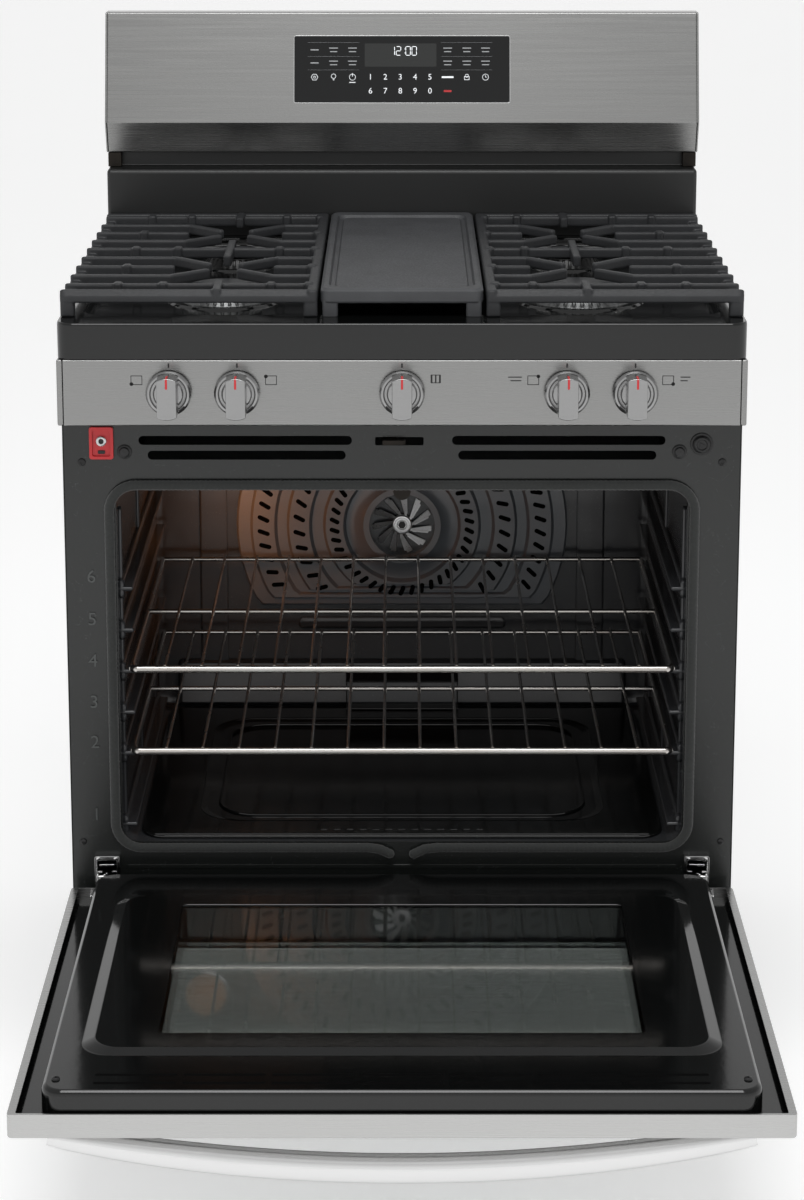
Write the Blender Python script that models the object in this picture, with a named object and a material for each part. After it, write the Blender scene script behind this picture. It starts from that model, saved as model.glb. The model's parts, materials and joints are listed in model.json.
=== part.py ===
"""Freestanding gas range with a drop-down oven door, shown with the door open.

Frame: metres, +Z up, +X to the cook's right, the cook stands on the -Y side.
The origin is on the floor, under the centre of the range with its door open.
"""
import math

import bmesh
import bpy
from mathutils import Matrix, Vector

# Overall sizes
WIDTH = 0.7588
HEIGHT = 1.197
DEPTH_OPEN = 1.196
HALF = WIDTH / 2
FRONT_Y = -DEPTH_OPEN / 2
BACK_Y = DEPTH_OPEN / 2
SHEET = 0.0012
GAP = 0.0003

# Planes that most parts hang on
PANEL_Y = -0.052
FRAME_Y = PANEL_Y + 0.040
BODY_REAR_Y = BACK_Y - 0.010
BODY_LOW_Z = 0.040
BODY_HIGH_Z = 0.8742
COOKTOP_Z = 0.915
WELL_Z = 0.905
PANEL_LOW_Z = 0.7997
KNOB_Z = 0.838

# Oven cavity
CAVITY_X = 0.321
CAVITY_LOW_Z = 0.300
CAVITY_HIGH_Z = 0.720
CAVITY_REAR_Y = 0.478
CAVITY_CORNER = 0.018
LEDGE_X = 0.305
RACK_LEVELS = (0.3205, 0.4065, 0.4555, 0.5045, 0.5535, 0.6025)
RACK_X = 0.311
RACK_FRONT_Y = -0.004
RACK_MID_Y = 0.222
RACK_REAR_Y = 0.453
RACK_WIRES = 14
RAIL_R = 0.003
FAN_Z = 0.546
BAFFLE_Y = 0.463
BAFFLE_R = 0.214

# Door, in its open position
HINGE_Y = -0.0475
HINGE_Z = 0.2465
DOOR_REAR_Y = -0.030
SKIN_LOW_Z = 0.226
SKIN_HIGH_Z = 0.251
LINER_X = 0.348
LINER_Z = 0.272
PLATEAU_Z = 0.277
HINGE_X = 0.345
NOTCH_REACH_Y = -0.075
HANDLE_X = 0.345
HANDLE_Y = -0.567
HANDLE_MID_Z = 0.1795

# Drawer
DRAWER_X = 0.331
DRAWER_LOW_Z = 0.0655
DRAWER_HIGH_Z = 0.205
DRAWER_FRONT_HIGH_Z = 0.217

# Hob
KNOB_XS = (-0.256, -0.181, 0.0, 0.181, 0.256)
KNOB_NAMES = ("left_front", "left_rear", "centre", "right_rear", "right_front")
BURNER_X = 0.205
FRONT_BURNER_Y = 0.137
REAR_BURNER_Y = 0.371
CENTRE_BURNER_Y = 0.250
GRATE_TOP_Z = 0.9467
GRATE_LOW_Z = 0.9305
GRATE_FRONT_Y = -0.016
GRATE_REAR_Y = 0.521
GRATE_OUTER_X = 0.378
GRATE_INNER_X = 0.0933
GRIDDLE_X = 0.0900
BAR_YS = (0.025, 0.081, 0.138, 0.197, 0.257, 0.314, 0.372, 0.430, 0.493)

# Backguard: the slanted face runs up from CREASE to CREST
CREASE = Vector((0.531, 1.060))
CREST = Vector((0.568, HEIGHT))
SHELL_LOW_Z = 1.020
SHELL_LOW_Y = 0.546
RISER_Y = 0.525
DISPLAY_X = 0.138
DISPLAY_LOW = 0.0254
DISPLAY_HIGH = 0.1121

# Finishes: colour, roughness, metallic
STAINLESS = ((0.33, 0.33, 0.34), 0.32, 1.0)
BRIGHT_STEEL = ((0.60, 0.60, 0.60), 0.20, 1.0)
BLACK_ENAMEL = ((0.010, 0.011, 0.012), 0.22, 0.0)
GREY_ENAMEL = ((0.045, 0.050, 0.048), 0.40, 0.0)
CAST_IRON = ((0.035, 0.036, 0.038), 0.60, 0.0)
GALVANISED = ((0.40, 0.41, 0.42), 0.45, 1.0)
ALUMINIUM = ((0.62, 0.62, 0.63), 0.35, 1.0)
BRASS = ((0.70, 0.52, 0.25), 0.35, 1.0)
DARK_GLASS = ((0.008, 0.008, 0.010), 0.05, 0.0)
CLEAR_GLASS = ((0.10, 0.11, 0.11), 0.05, 0.0)
GASKET_GREY = ((0.05, 0.05, 0.05), 0.90, 0.0)
RED_PLASTIC = ((0.50, 0.02, 0.02), 0.40, 0.0)
BLACK_PLASTIC = ((0.015, 0.015, 0.016), 0.45, 0.0)


# ---------------------------------------------------------------- modelling tools

def clear_scene():
    for item in list(bpy.data.objects):
        bpy.data.objects.remove(item, do_unlink=True)


def place(name, bm, look, location=(0.0, 0.0, 0.0)):
    """Turn a bmesh into a named object with its own Principled material."""
    bmesh.ops.recalc_face_normals(bm, faces=bm.faces)
    mesh = bpy.data.meshes.new(name)
    bm.to_mesh(mesh)
    bm.free()
    piece = bpy.data.objects.new(name, mesh)
    piece.location = location
    bpy.context.scene.collection.objects.link(piece)
    if look:
        colour, roughness, metallic = look
        material = bpy.data.materials.new(name + "_finish")
        material.use_nodes = True
        shader = material.node_tree.nodes["Principled BSDF"]
        shader.inputs["Base Color"].default_value = (*colour, 1.0)
        shader.inputs["Roughness"].default_value = roughness
        shader.inputs["Metallic"].default_value = metallic
        mesh.materials.append(material)
    return piece


def prism_mesh(outline, axis, low, high, bm=None):
    """Extrude a flat outline along X, Y or Z; the outline holds the other two coordinates."""
    bm = bm or bmesh.new()
    place_of = "XYZ".index(axis)
    ends = []
    for level in (low, high):
        corners = [tuple(pair) for pair in outline]
        ends.append([bm.verts.new(pair[:place_of] + (level,) + pair[place_of:]) for pair in corners])
    bm.faces.new(ends[0])
    bm.faces.new(list(reversed(ends[1])))
    count = len(outline)
    for i in range(count):
        j = (i + 1) % count
        bm.faces.new((ends[0][i], ends[0][j], ends[1][j], ends[1][i]))
    return bm


def prism(name, outline, axis, low, high, look=None):
    return place(name, prism_mesh(outline, axis, low, high), look)


def block(name, x, y, z, look=None):
    """A box from its (low, high) pairs."""
    outline = ((x[0], y[0]), (x[1], y[0]), (x[1], y[1]), (x[0], y[1]))
    return prism(name, outline, "Z", z[0], z[1], look)


def rounded(a, b, radius, steps=5):
    """Outline of a rectangle with round corners, from its (low, high) pairs."""
    corners = ((a[1], b[0], -90), (a[1], b[1], 0), (a[0], b[1], 90), (a[0], b[0], 180))
    points = []
    for corner_a, corner_b, start in corners:
        centre_a = corner_a - math.copysign(radius, corner_a - sum(a) / 2)
        centre_b = corner_b - math.copysign(radius, corner_b - sum(b) / 2)
        for step in range(steps + 1):
            angle = math.radians(start + 90 * step / steps)
            points.append((centre_a + radius * math.cos(angle), centre_b + radius * math.sin(angle)))
    return points


def circle(radius, sides, centre=(0.0, 0.0), stretch=1.0):
    turns = [2 * math.pi * i / sides for i in range(sides)]
    return [(centre[0] + radius * math.cos(t), centre[1] + radius * stretch * math.sin(t)) for t in turns]


def loft_mesh(rings):
    """Skin a run of equal rings of points and cap both ends."""
    bm = bmesh.new()
    rows = [[bm.verts.new(point) for point in ring] for ring in rings]
    bm.faces.new(rows[0])
    bm.faces.new(list(reversed(rows[-1])))
    count = len(rows[0])
    for first, second in zip(rows, rows[1:]):
        for i in range(count):
            j = (i + 1) % count
            bm.faces.new((first[i], first[j], second[j], second[i]))
    return bm


def turned(name, profile, axis, location=(0.0, 0.0, 0.0), look=None, sides=24, stretch=1.0):
    """Turn (radius, distance along the axis) pairs into a closed body; radii are above zero."""
    bm = loft_mesh([[(x, y, along) for x, y in circle(radius, sides, stretch=stretch)]
                    for radius, along in profile])
    if axis == "Y":
        bmesh.ops.rotate(bm, matrix=Matrix.Rotation(math.radians(-90), 3, "X"), verts=bm.verts)
    if axis == "X":
        bmesh.ops.rotate(bm, matrix=Matrix.Rotation(math.radians(90), 3, "Y"), verts=bm.verts)
    piece = place(name, bm, look, location)
    piece.data.shade_smooth()
    piece.data.set_sharp_from_angle(angle=math.radians(35))
    return piece


def wire(name, start, end, radius, look=None, sides=6):
    """A straight round rod between two points."""
    start, end = Vector(start), Vector(end)
    along = (end - start).normalized()
    side = along.orthogonal().normalized()
    other = along.cross(side)
    ring = circle(radius, sides)
    rings = [[spot + side * a + other * b for a, b in ring] for spot in (start, end)]
    return place(name, loft_mesh(rings), look)


def bar(name, start, end, width, z, look=None):
    """A flat bar in plan from start to end, between the two heights of z."""
    start, end = Vector(start), Vector(end)
    along = (end - start).normalized()
    across = Vector((-along.y, along.x)) * width / 2
    outline = (start - across, end - across, end + across, start + across)
    return prism(name, [tuple(point) for point in outline], "Z", z[0], z[1], look)


def combine(target, pieces, operation):
    """Boolean each helper piece into the target; the helpers stay as hidden guides."""
    for piece in pieces:
        piece.hide_render = True
        piece.display_type = "WIRE"
        modifier = target.modifiers.new(piece.name, "BOOLEAN")
        modifier.operation = operation
        modifier.solver = "EXACT"
        modifier.object = piece
    return target


def fuse(target, *pieces):
    return combine(target, pieces, "UNION")


def carve(target, *pieces):
    return combine(target, pieces, "DIFFERENCE")


def pivot(name, location):
    """An empty on a joint's axis, which the moving pieces hang from."""
    empty = bpy.data.objects.new(name, None)
    empty.location = location
    bpy.context.scene.collection.objects.link(empty)
    return empty


def hang(empty, *pieces):
    for piece in pieces:
        piece.parent = empty
        piece.matrix_parent_inverse = Matrix.Translation(empty.location).inverted()


def span(side, low, high):
    """The (low, high) pair of a stretch of X on the left (side -1) or the right (side 1)."""
    return tuple(sorted((side * low, side * high)))


def sided(side, name):
    return ("left_" if side < 0 else "right_") + name


# ---------------------------------------------------------------- cabinet

def build_side_panel(side):
    block(sided(side, "side_panel"), span(side, HALF - SHEET, HALF), (FRAME_Y, BODY_REAR_Y),
          (BODY_LOW_Z, BODY_HIGH_Z), GREY_ENAMEL)


def build_back_panel():
    """A flat sheet with a raised cover over the fan motor, hollow from the inside."""
    front_y = BODY_REAR_Y + GAP
    panel = block("back_panel", (-HALF, HALF), (front_y, front_y + SHEET), (BODY_LOW_Z, BODY_HIGH_Z),
                  GALVANISED)
    fuse(panel, block("rear_cover", (-0.220, 0.220), (front_y + 0.0006, BACK_Y), (0.160, 0.620)))
    carve(panel, block("cover_hollow", (-0.220 + SHEET, 0.220 - SHEET), (front_y - 0.010, BACK_Y - SHEET),
                       (0.160 + SHEET, 0.620 - SHEET)))


def build_base_frame():
    """A ring of angle section with the two runners that the drawer slides between."""
    outer_x = HALF - SHEET - GAP
    rear_y = BODY_REAR_Y - GAP
    frame = block("base_frame", (-outer_x, outer_x), (0.010, rear_y), (BODY_LOW_Z, 0.060), GALVANISED)
    carve(frame,
          block("base_opening", (-0.345, 0.345), (0.040, 0.558), (0.030, 0.070)),
          block("angle_hollow", (-outer_x + 0.003, outer_x - 0.003), (0.013, rear_y - 0.003),
                (0.043, 0.070)))
    for side in (-1, 1):
        fuse(frame, block(sided(side, "runner"), span(side, 0.3450, 0.3475), (0.012, 0.560), (0.041, 0.100)),
             block(sided(side, "runner_lip"), span(side, 0.3345, 0.3470), (0.012, 0.560), (0.0975, 0.100)))


def build_feet():
    profile = ((0.018, 0.0), (0.018, 0.005), (0.007, 0.008), (0.007, BODY_LOW_Z - GAP))
    for side in (-1, 1):
        for row, y in (("front", 0.030), ("rear", 0.545)):
            turned(sided(side, row + "_foot"), profile, "Z", (side * 0.358, y, 0.0), BLACK_PLASTIC, 16)


def build_oven_liner():
    """Front frame and cavity in one enamelled piece, with ledges for six rack levels."""
    outer_x = HALF - SHEET - GAP
    liner = block("oven_liner", (-outer_x, outer_x), (FRAME_Y, FRAME_Y + SHEET),
                  (0.222, PANEL_LOW_Z - 0.0005), GREY_ENAMEL)
    shell = rounded((-CAVITY_X - SHEET, CAVITY_X + SHEET), (CAVITY_LOW_Z - SHEET, CAVITY_HIGH_Z + SHEET),
                    CAVITY_CORNER + SHEET)
    room = rounded((-CAVITY_X, CAVITY_X), (CAVITY_LOW_Z, CAVITY_HIGH_Z), CAVITY_CORNER)
    fuse(liner, prism("cavity_shell", shell, "Y", FRAME_Y + 0.0006, CAVITY_REAR_Y + SHEET))
    carve(liner, prism("cavity_room", room, "Y", FRAME_Y - 0.010, CAVITY_REAR_Y))
    for side in (-1, 1):
        for level, z in enumerate(RACK_LEVELS, 1):
            top = z - RAIL_R - GAP
            fuse(liner, block(sided(side, "ledge_%d" % level), span(side, LEDGE_X, CAVITY_X + 0.0006),
                              (0.004, 0.460), (top - 0.005, top)))
        slots = prism_mesh(rounded(span(side, 0.056, 0.294), (0.769, 0.779), 0.0049, 3), "Y", -0.02, 0.0)
        prism_mesh(rounded(span(side, 0.063, 0.284), (0.752, 0.762), 0.0049, 3), "Y", -0.02, 0.0, slots)
        carve(liner, place(sided(side, "vent_cutter"), slots, None))
    carve(liner,
          block("latch_cutter", (-0.030, 0.024), (-0.02, 0.0), (0.7685, 0.7777)),
          turned("switch_cutter", ((0.0102, -0.02), (0.0102, 0.0)), "Y", (0.3345, 0.0, 0.770)),
          turned("shaft_cutter", ((0.007, 0.470), (0.007, 0.490)), "Y", (0.0, 0.0, FAN_Z)))


def build_oven_floor():
    tray = prism("oven_floor", rounded((-0.302, 0.302), (-0.004, 0.456), 0.030), "Z",
                 CAVITY_LOW_Z + GAP, CAVITY_LOW_Z + 0.0045, GREY_ENAMEL)
    carve(tray, prism("tray_recess", rounded((-0.225, 0.225), (0.060, 0.390), 0.050), "Z",
                      CAVITY_LOW_Z + 0.0025, CAVITY_LOW_Z + 0.010))


def build_door_gasket():
    """An oval rope along a round-cornered path, open for a short gap at the bottom."""
    half_width, half_depth, open_x = 0.0058, 0.0045, 0.013
    path = rounded((-0.328, 0.328), (0.2945, 0.7235), 0.030)
    low_z = path[0][1]
    path = [(open_x, low_z)] + path + [(-open_x, low_z)]
    centre_y = FRAME_Y - GAP - half_depth
    section = circle(1.0, 8)
    rings = []
    for i, spot in enumerate(path):
        before, after = Vector(path[max(i - 1, 0)]), Vector(path[min(i + 1, len(path) - 1)])
        along = (after - before).normalized()
        across = Vector((along.y, -along.x))
        rings.append([(spot[0] + across.x * half_width * a, centre_y + half_depth * b,
                       spot[1] + across.y * half_width * a) for a, b in section])
    place("door_gasket", loft_mesh(rings), GASKET_GREY)


def build_probe_socket():
    frame = block("probe_socket", (-0.349, -0.322), (FRAME_Y - 0.004, FRAME_Y - GAP), (0.753, 0.790),
                  RED_PLASTIC)
    carve(frame, block("socket_recess", (-0.3455, -0.3255), (FRAME_Y - 0.010, FRAME_Y - 0.0015),
                       (0.7565, 0.7865)))
    fuse(frame, turned("jack_ring", ((0.0055, FRAME_Y - 0.0038), (0.0055, FRAME_Y - 0.001)), "Y",
                       (-0.3355, 0.0, 0.7735), None, 16))


def build_backguard():
    """A folded stainless shell with a slanted face, on a black riser."""
    profile = [CREASE, CREST, (BACK_Y, HEIGHT), (BACK_Y, SHELL_LOW_Z), (SHELL_LOW_Y, SHELL_LOW_Z)]
    hollow = [(CREASE.x + 1.1 * SHEET, CREASE.y), (CREST.x + 0.8 * SHEET, HEIGHT - SHEET),
              (BACK_Y - SHEET, HEIGHT - SHEET), (BACK_Y - SHEET, SHELL_LOW_Z + SHEET),
              (SHELL_LOW_Y + 0.8 * SHEET, SHELL_LOW_Z + SHEET)]
    shell = prism("backguard_shell", profile, "X", -HALF, HALF, STAINLESS)
    carve(shell,
          prism("shell_hollow", hollow, "X", -HALF + SHEET, HALF - SHEET),
          block("wiring_way", (-0.300, 0.300), (0.566, 0.584), (SHELL_LOW_Z - 0.010, SHELL_LOW_Z + 0.010)))
    up = (CREST - CREASE).normalized()
    out = Vector((-up.y, up.x))

    def band(low, high, inner, outer):
        corners = ((low, inner), (high, inner), (high, outer), (low, outer))
        return [tuple(CREASE + up * u + out * v) for u, v in corners]

    carve(shell, prism("display_cutter", band(DISPLAY_LOW, DISPLAY_HIGH, -0.010, 0.010), "X",
                       -DISPLAY_X - GAP, DISPLAY_X + GAP))
    prism("display_glass", band(DISPLAY_LOW + GAP, DISPLAY_HIGH - GAP, -0.006, 0.0005), "X",
          -DISPLAY_X, DISPLAY_X, DARK_GLASS)
    low_z, step_z, top_z = COOKTOP_Z + GAP, 1.001, SHELL_LOW_Z - GAP
    rear = BODY_REAR_Y
    outer = ((RISER_Y, low_z), (RISER_Y, step_z), (0.560, step_z), (0.560, top_z), (rear, top_z),
             (rear, low_z))
    inner = ((RISER_Y + SHEET, low_z - 0.010), (RISER_Y + SHEET, step_z - SHEET), (0.562, step_z - SHEET),
             (0.562, top_z - SHEET), (rear - SHEET, top_z - SHEET), (rear - SHEET, low_z - 0.010))
    edge = HALF - 0.002
    riser = prism("backguard_riser", outer, "X", -edge, edge, BLACK_ENAMEL)
    carve(riser, prism("riser_hollow", inner, "X", -edge + SHEET, edge - SHEET))


# ---------------------------------------------------------------- inside the oven

def build_fan_baffle():
    """A dished round cover with flats at its foot and crown, a middle hole and slots in rings."""
    low_z, high_z = 0.438 - FAN_Z, 0.712 - FAN_Z

    def outline(radius, low, high, steps=12):
        start, end = math.asin(low / radius), math.asin(high / radius)
        right = [start + (end - start) * i / steps for i in range(steps + 1)]
        arc = [(radius * math.cos(t), FAN_Z + radius * math.sin(t)) for t in right]
        return arc + [(-x, z) for x, z in reversed(arc)]

    baffle = prism("fan_baffle", outline(BAFFLE_R, low_z, high_z), "Y", BAFFLE_Y, CAVITY_REAR_Y - GAP,
                   GREY_ENAMEL)
    carve(baffle, prism("baffle_hollow", outline(BAFFLE_R - SHEET, low_z + SHEET, high_z - SHEET), "Y",
                        BAFFLE_Y + SHEET, CAVITY_REAR_Y + 0.010))
    slots = prism_mesh(circle(0.0424, 24, (0.0, FAN_Z)), "Y", BAFFLE_Y - 0.010, BAFFLE_Y + 0.010)
    for radius, count in ((0.089, 14), (0.1385, 20)):
        for i in range(count):
            turn = 2 * math.pi * (i + 0.5) / count
            middle = Vector((radius * math.cos(turn), FAN_Z + radius * math.sin(turn)))
            if abs(middle.y - FAN_Z - low_z) < 0.018 or middle.y < FAN_Z + low_z:
                continue
            along = Vector((math.cos(turn + 0.6), math.sin(turn + 0.6))) * 0.011
            across = Vector((-along.y, along.x)) * 0.25
            corners = (middle - along - across, middle + along - across, middle + along + across,
                       middle - along + across)
            prism_mesh([tuple(corner) for corner in corners], "Y", BAFFLE_Y - 0.010, BAFFLE_Y + 0.010, slots)
    carve(baffle, place("baffle_cutter", slots, None))


def build_fan():
    """Star fan on its own axis and the motor behind the cavity that carries it."""
    blades, hub_r, tip_r = 11, 0.014, 0.0394
    outline = []
    for i in range(blades):
        for radius, part in ((hub_r, 0.0), (tip_r, 0.30), (tip_r * 0.97, 0.62)):
            turn = 2 * math.pi * (i + part) / blades
            outline.append((radius * math.cos(turn), radius * math.sin(turn)))
    fan = prism("convection_fan", outline, "Y", 0.0, 0.0085, ALUMINIUM)
    fan.location = (0.0, BAFFLE_Y + 0.0027, FAN_Z)
    turned("fan_motor", ((0.004, 0.4746), (0.004, 0.4806), (0.045, 0.4806), (0.045, 0.530), (0.012, 0.536)),
           "Y", (0.0, 0.0, FAN_Z), GALVANISED, 20)


def build_burner_tubes():
    bake = turned("bake_burner", ((0.012, 0.060), (0.012, 0.450)), "Y", (0.0, 0.0, 0.262), GALVANISED, 12)
    fuse(bake, block("bake_deflector", (-0.050, 0.050), (0.080, 0.430), (0.2605, 0.2625)))
    broil = turned("broil_burner", ((0.010, 0.030), (0.010, 0.440)), "Y", (0.0, 0.0, 0.704), GALVANISED, 12)
    fuse(broil, block("broil_reflector", (-0.100, 0.100), (0.050, 0.420), (0.7025, 0.7050)))


def build_oven_lamp():
    profile = ((0.016, -0.032), (0.024, -0.026), (0.028, -0.014), (0.030, -0.004), (0.030, 0.0))
    turned("oven_lamp", profile, "Y", (-0.262, CAVITY_REAR_Y - GAP, 0.655), CLEAR_GLASS, 20)


def build_racks():
    """Two wire racks: a heavy front bar, two cross bars, side rails and a row of light wires."""
    pitch = 2 * RACK_X / (RACK_WIRES + 1)
    for name, level in (("rack_upper", 3), ("rack_lower", 1)):
        z = RACK_LEVELS[level]
        rail_x = RACK_X - RAIL_R
        front, wire_z = RACK_FRONT_Y, z + 0.0036
        rack = wire(name, (-RACK_X, front, z), (RACK_X, front, z), 0.0043, BRIGHT_STEEL, 8)
        for label, y in (("mid", RACK_MID_Y), ("rear", RACK_REAR_Y)):
            fuse(rack, wire("%s_%s_bar" % (name, label), (-rail_x, y, z), (rail_x, y, z), 0.003))
        for side in (-1, 1):
            fuse(rack, wire("%s_%s" % (name, sided(side, "rail")), (side * rail_x, front - 0.001, z),
                            (side * rail_x, RACK_REAR_Y + 0.002, z), RAIL_R))
        for i in range(1, RACK_WIRES + 1):
            x = -RACK_X + i * pitch
            fuse(rack, wire("%s_wire_%d" % (name, i), (x, front, wire_z), (x, RACK_REAR_Y + 0.001, wire_z),
                            0.0019))
        hang(pivot(name + "_slide", (0.0, front, z)), rack)


# ---------------------------------------------------------------- hob

def build_cooktop():
    """An enamelled pan with a raised rim, hollow underneath and sunk for the burners."""
    cooktop = prism("cooktop", rounded((-HALF, HALF), (PANEL_Y, BODY_REAR_Y - GAP), 0.018), "Z",
                    BODY_HIGH_Z + GAP, COOKTOP_Z, BLACK_ENAMEL)
    well_x, well_y, well_corner = 0.352, (0.002, 0.506), 0.022
    hollow = rounded((-HALF + SHEET, HALF - SHEET), (PANEL_Y + SHEET, BODY_REAR_Y - GAP - SHEET), 0.017)
    pan = rounded((-well_x - SHEET, well_x + SHEET), (well_y[0] - SHEET, well_y[1] + SHEET),
                  well_corner + SHEET)
    carve(cooktop, prism("cooktop_hollow", hollow, "Z", BODY_HIGH_Z - 0.010, COOKTOP_Z - SHEET))
    fuse(cooktop, prism("well_pan", pan, "Z", WELL_Z - SHEET, COOKTOP_Z - SHEET / 2))
    carve(cooktop, prism("cooktop_well", rounded((-well_x, well_x), well_y, well_corner), "Z", WELL_Z,
                         COOKTOP_Z + 0.010))


def build_burners():
    """Each burner is a ported head on the pan and a loose cap that lifts off it."""
    spots = {"left_front": (-BURNER_X, FRONT_BURNER_Y, 0.0515, 0.0435, 1.0),
             "left_rear": (-BURNER_X, REAR_BURNER_Y, 0.0400, 0.0330, 1.0),
             "centre": (0.0, CENTRE_BURNER_Y, 0.0365, 0.0300, 2.6),
             "right_rear": (BURNER_X, REAR_BURNER_Y, 0.0400, 0.0330, 1.0),
             "right_front": (BURNER_X, FRONT_BURNER_Y, 0.0600, 0.0505, 1.0)}
    seat_z, head_z, cap_z = WELL_Z + GAP, 0.9180, 0.9235
    for name, (x, y, head_r, cap_r, stretch) in spots.items():
        head = ((head_r, 0.0), (head_r, 0.004), (cap_r - 0.002, 0.006), (cap_r - 0.002, head_z - seat_z))
        turned(name + "_burner_head", head, "Z", (x, y, seat_z), ALUMINIUM, 20, stretch)
        base = head_z + GAP
        cap = ((cap_r, 0.0), (cap_r, 0.003), (cap_r - 0.003, cap_z - base))
        piece = turned(name + "_burner_cap", cap, "Z", (x, y, base), CAST_IRON, 20, stretch)
        hang(pivot(name + "_cap_lift", (x, y, base)), piece)


def build_grate(side):
    """Cast grate: four rails, cross bars, and fingers that point at each burner's middle."""
    name = sided(side, "grate")
    rail, bar_width = 0.012, 0.008
    tall, low = (GRATE_LOW_Z, GRATE_TOP_Z), (0.9335, GRATE_TOP_Z)
    outer, inner = GRATE_OUTER_X - rail / 2, GRATE_INNER_X + rail / 2
    front, rear = GRATE_FRONT_Y + rail / 2, GRATE_REAR_Y - rail / 2
    elbow_outer, elbow_inner, tip_reach = 0.262, 0.148, 0.017
    grate = bar(name, (side * outer, GRATE_FRONT_Y), (side * outer, GRATE_REAR_Y), rail, tall, CAST_IRON)
    runs = [((inner, GRATE_FRONT_Y), (inner, GRATE_REAR_Y), rail, tall),
            ((inner, front), (outer, front), rail, tall),
            ((inner, rear), (outer, rear), rail, tall)]
    for index in (0, 4, 8):
        runs.append(((inner, BAR_YS[index]), (outer, BAR_YS[index]), bar_width, low))
    for index, middle in ((2, FRONT_BURNER_Y), (6, REAR_BURNER_Y)):
        runs.append(((elbow_outer, BAR_YS[index]), (outer, BAR_YS[index]), bar_width, low))
        runs.append(((inner, BAR_YS[index]), (elbow_inner, BAR_YS[index]), bar_width, low))
        for neighbour, away in ((index - 1, -1), (index + 1, 1)):
            y = BAR_YS[neighbour]
            tip_y = middle + away * tip_reach
            runs.append(((elbow_outer - 0.002, y), (outer, y), bar_width, low))
            runs.append(((inner, y), (elbow_inner + 0.002, y), bar_width, low))
            runs.append(((BURNER_X + tip_reach, tip_y), (elbow_outer, y), bar_width, low))
            runs.append(((elbow_inner, y), (BURNER_X - tip_reach, tip_y), bar_width, low))
    for start, end in ((front, 0.098), (0.165, 0.345), (0.412, rear)):
        runs.append(((BURNER_X, start), (BURNER_X, end), bar_width, low))
    for i, (start, end, width, z) in enumerate(runs):
        fuse(grate, bar("%s_bar_%d" % (name, i), (side * start[0], start[1]), (side * end[0], end[1]),
                        width, z))
    for column, x in (("outer", outer - 0.002), ("inner", inner + 0.002)):
        for row, y in (("front", front + 0.002), ("rear", rear - 0.002)):
            fuse(grate, block("%s_%s_%s_foot" % (name, column, row), span(side, x - 0.008, x + 0.008),
                              (y - 0.008, y + 0.008), (COOKTOP_Z + GAP, 0.9335)))
    hang(pivot(name + "_lift", (side * BURNER_X, CENTRE_BURNER_Y, COOKTOP_Z)), grate)


def build_griddle():
    y = (GRATE_FRONT_Y, GRATE_REAR_Y)
    griddle = prism("griddle", rounded((-GRIDDLE_X, GRIDDLE_X), y, 0.008, 3), "Z", GRATE_LOW_Z, GRATE_TOP_Z,
                    CAST_IRON)
    carve(griddle,
          prism("griddle_under", rounded((-0.082, 0.082), (y[0] + 0.008, y[1] - 0.008), 0.008, 3), "Z",
                GRATE_LOW_Z - 0.010, 0.9390),
          prism("griddle_dish", rounded((-0.079, 0.079), (0.004, 0.493), 0.012, 3), "Z", 0.9440, 0.960))
    for side in (-1, 1):
        for row, foot_y in (("front", y[0] + 0.009), ("rear", y[1] - 0.009)):
            fuse(griddle, block("griddle_%s" % sided(side, row + "_foot"), span(side, 0.071, 0.0885),
                                (foot_y - 0.0075, foot_y + 0.0075), (COOKTOP_Z + GAP, 0.9330)))
    hang(pivot("griddle_lift", (0.0, CENTRE_BURNER_Y, COOKTOP_Z)), griddle)


# ---------------------------------------------------------------- controls

def build_control_panel():
    """A folded stainless channel with five stem holes."""
    panel = block("control_panel", (-HALF, HALF), (PANEL_Y, FRAME_Y - 0.0015), (PANEL_LOW_Z, BODY_HIGH_Z),
                  STAINLESS)
    carve(panel, block("panel_hollow", (-HALF + SHEET, HALF - SHEET), (PANEL_Y + SHEET, 0.010),
                       (PANEL_LOW_Z + SHEET, BODY_HIGH_Z - SHEET)))
    holes = bmesh.new()
    for x in KNOB_XS:
        prism_mesh(circle(0.0052, 16, (x, KNOB_Z)), "Y", PANEL_Y - 0.010, PANEL_Y + 0.010, holes)
    carve(panel, place("stem_cutter", holes, None))


def build_gas_manifold():
    rail_y, valve_front = 0.016, -0.024
    manifold = wire("gas_manifold", (-0.300, rail_y, KNOB_Z), (0.310, rail_y, KNOB_Z), 0.009, ALUMINIUM, 12)
    for name, x in zip(KNOB_NAMES, KNOB_XS):
        fuse(manifold, block(name + "_valve", (x - 0.012, x + 0.012), (valve_front, rail_y + 0.002),
                             (KNOB_Z - 0.012, KNOB_Z + 0.012)))
    fuse(manifold, block("regulator", (0.300, 0.350), (-0.006, 0.040), (KNOB_Z - 0.020, KNOB_Z + 0.020)))


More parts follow.
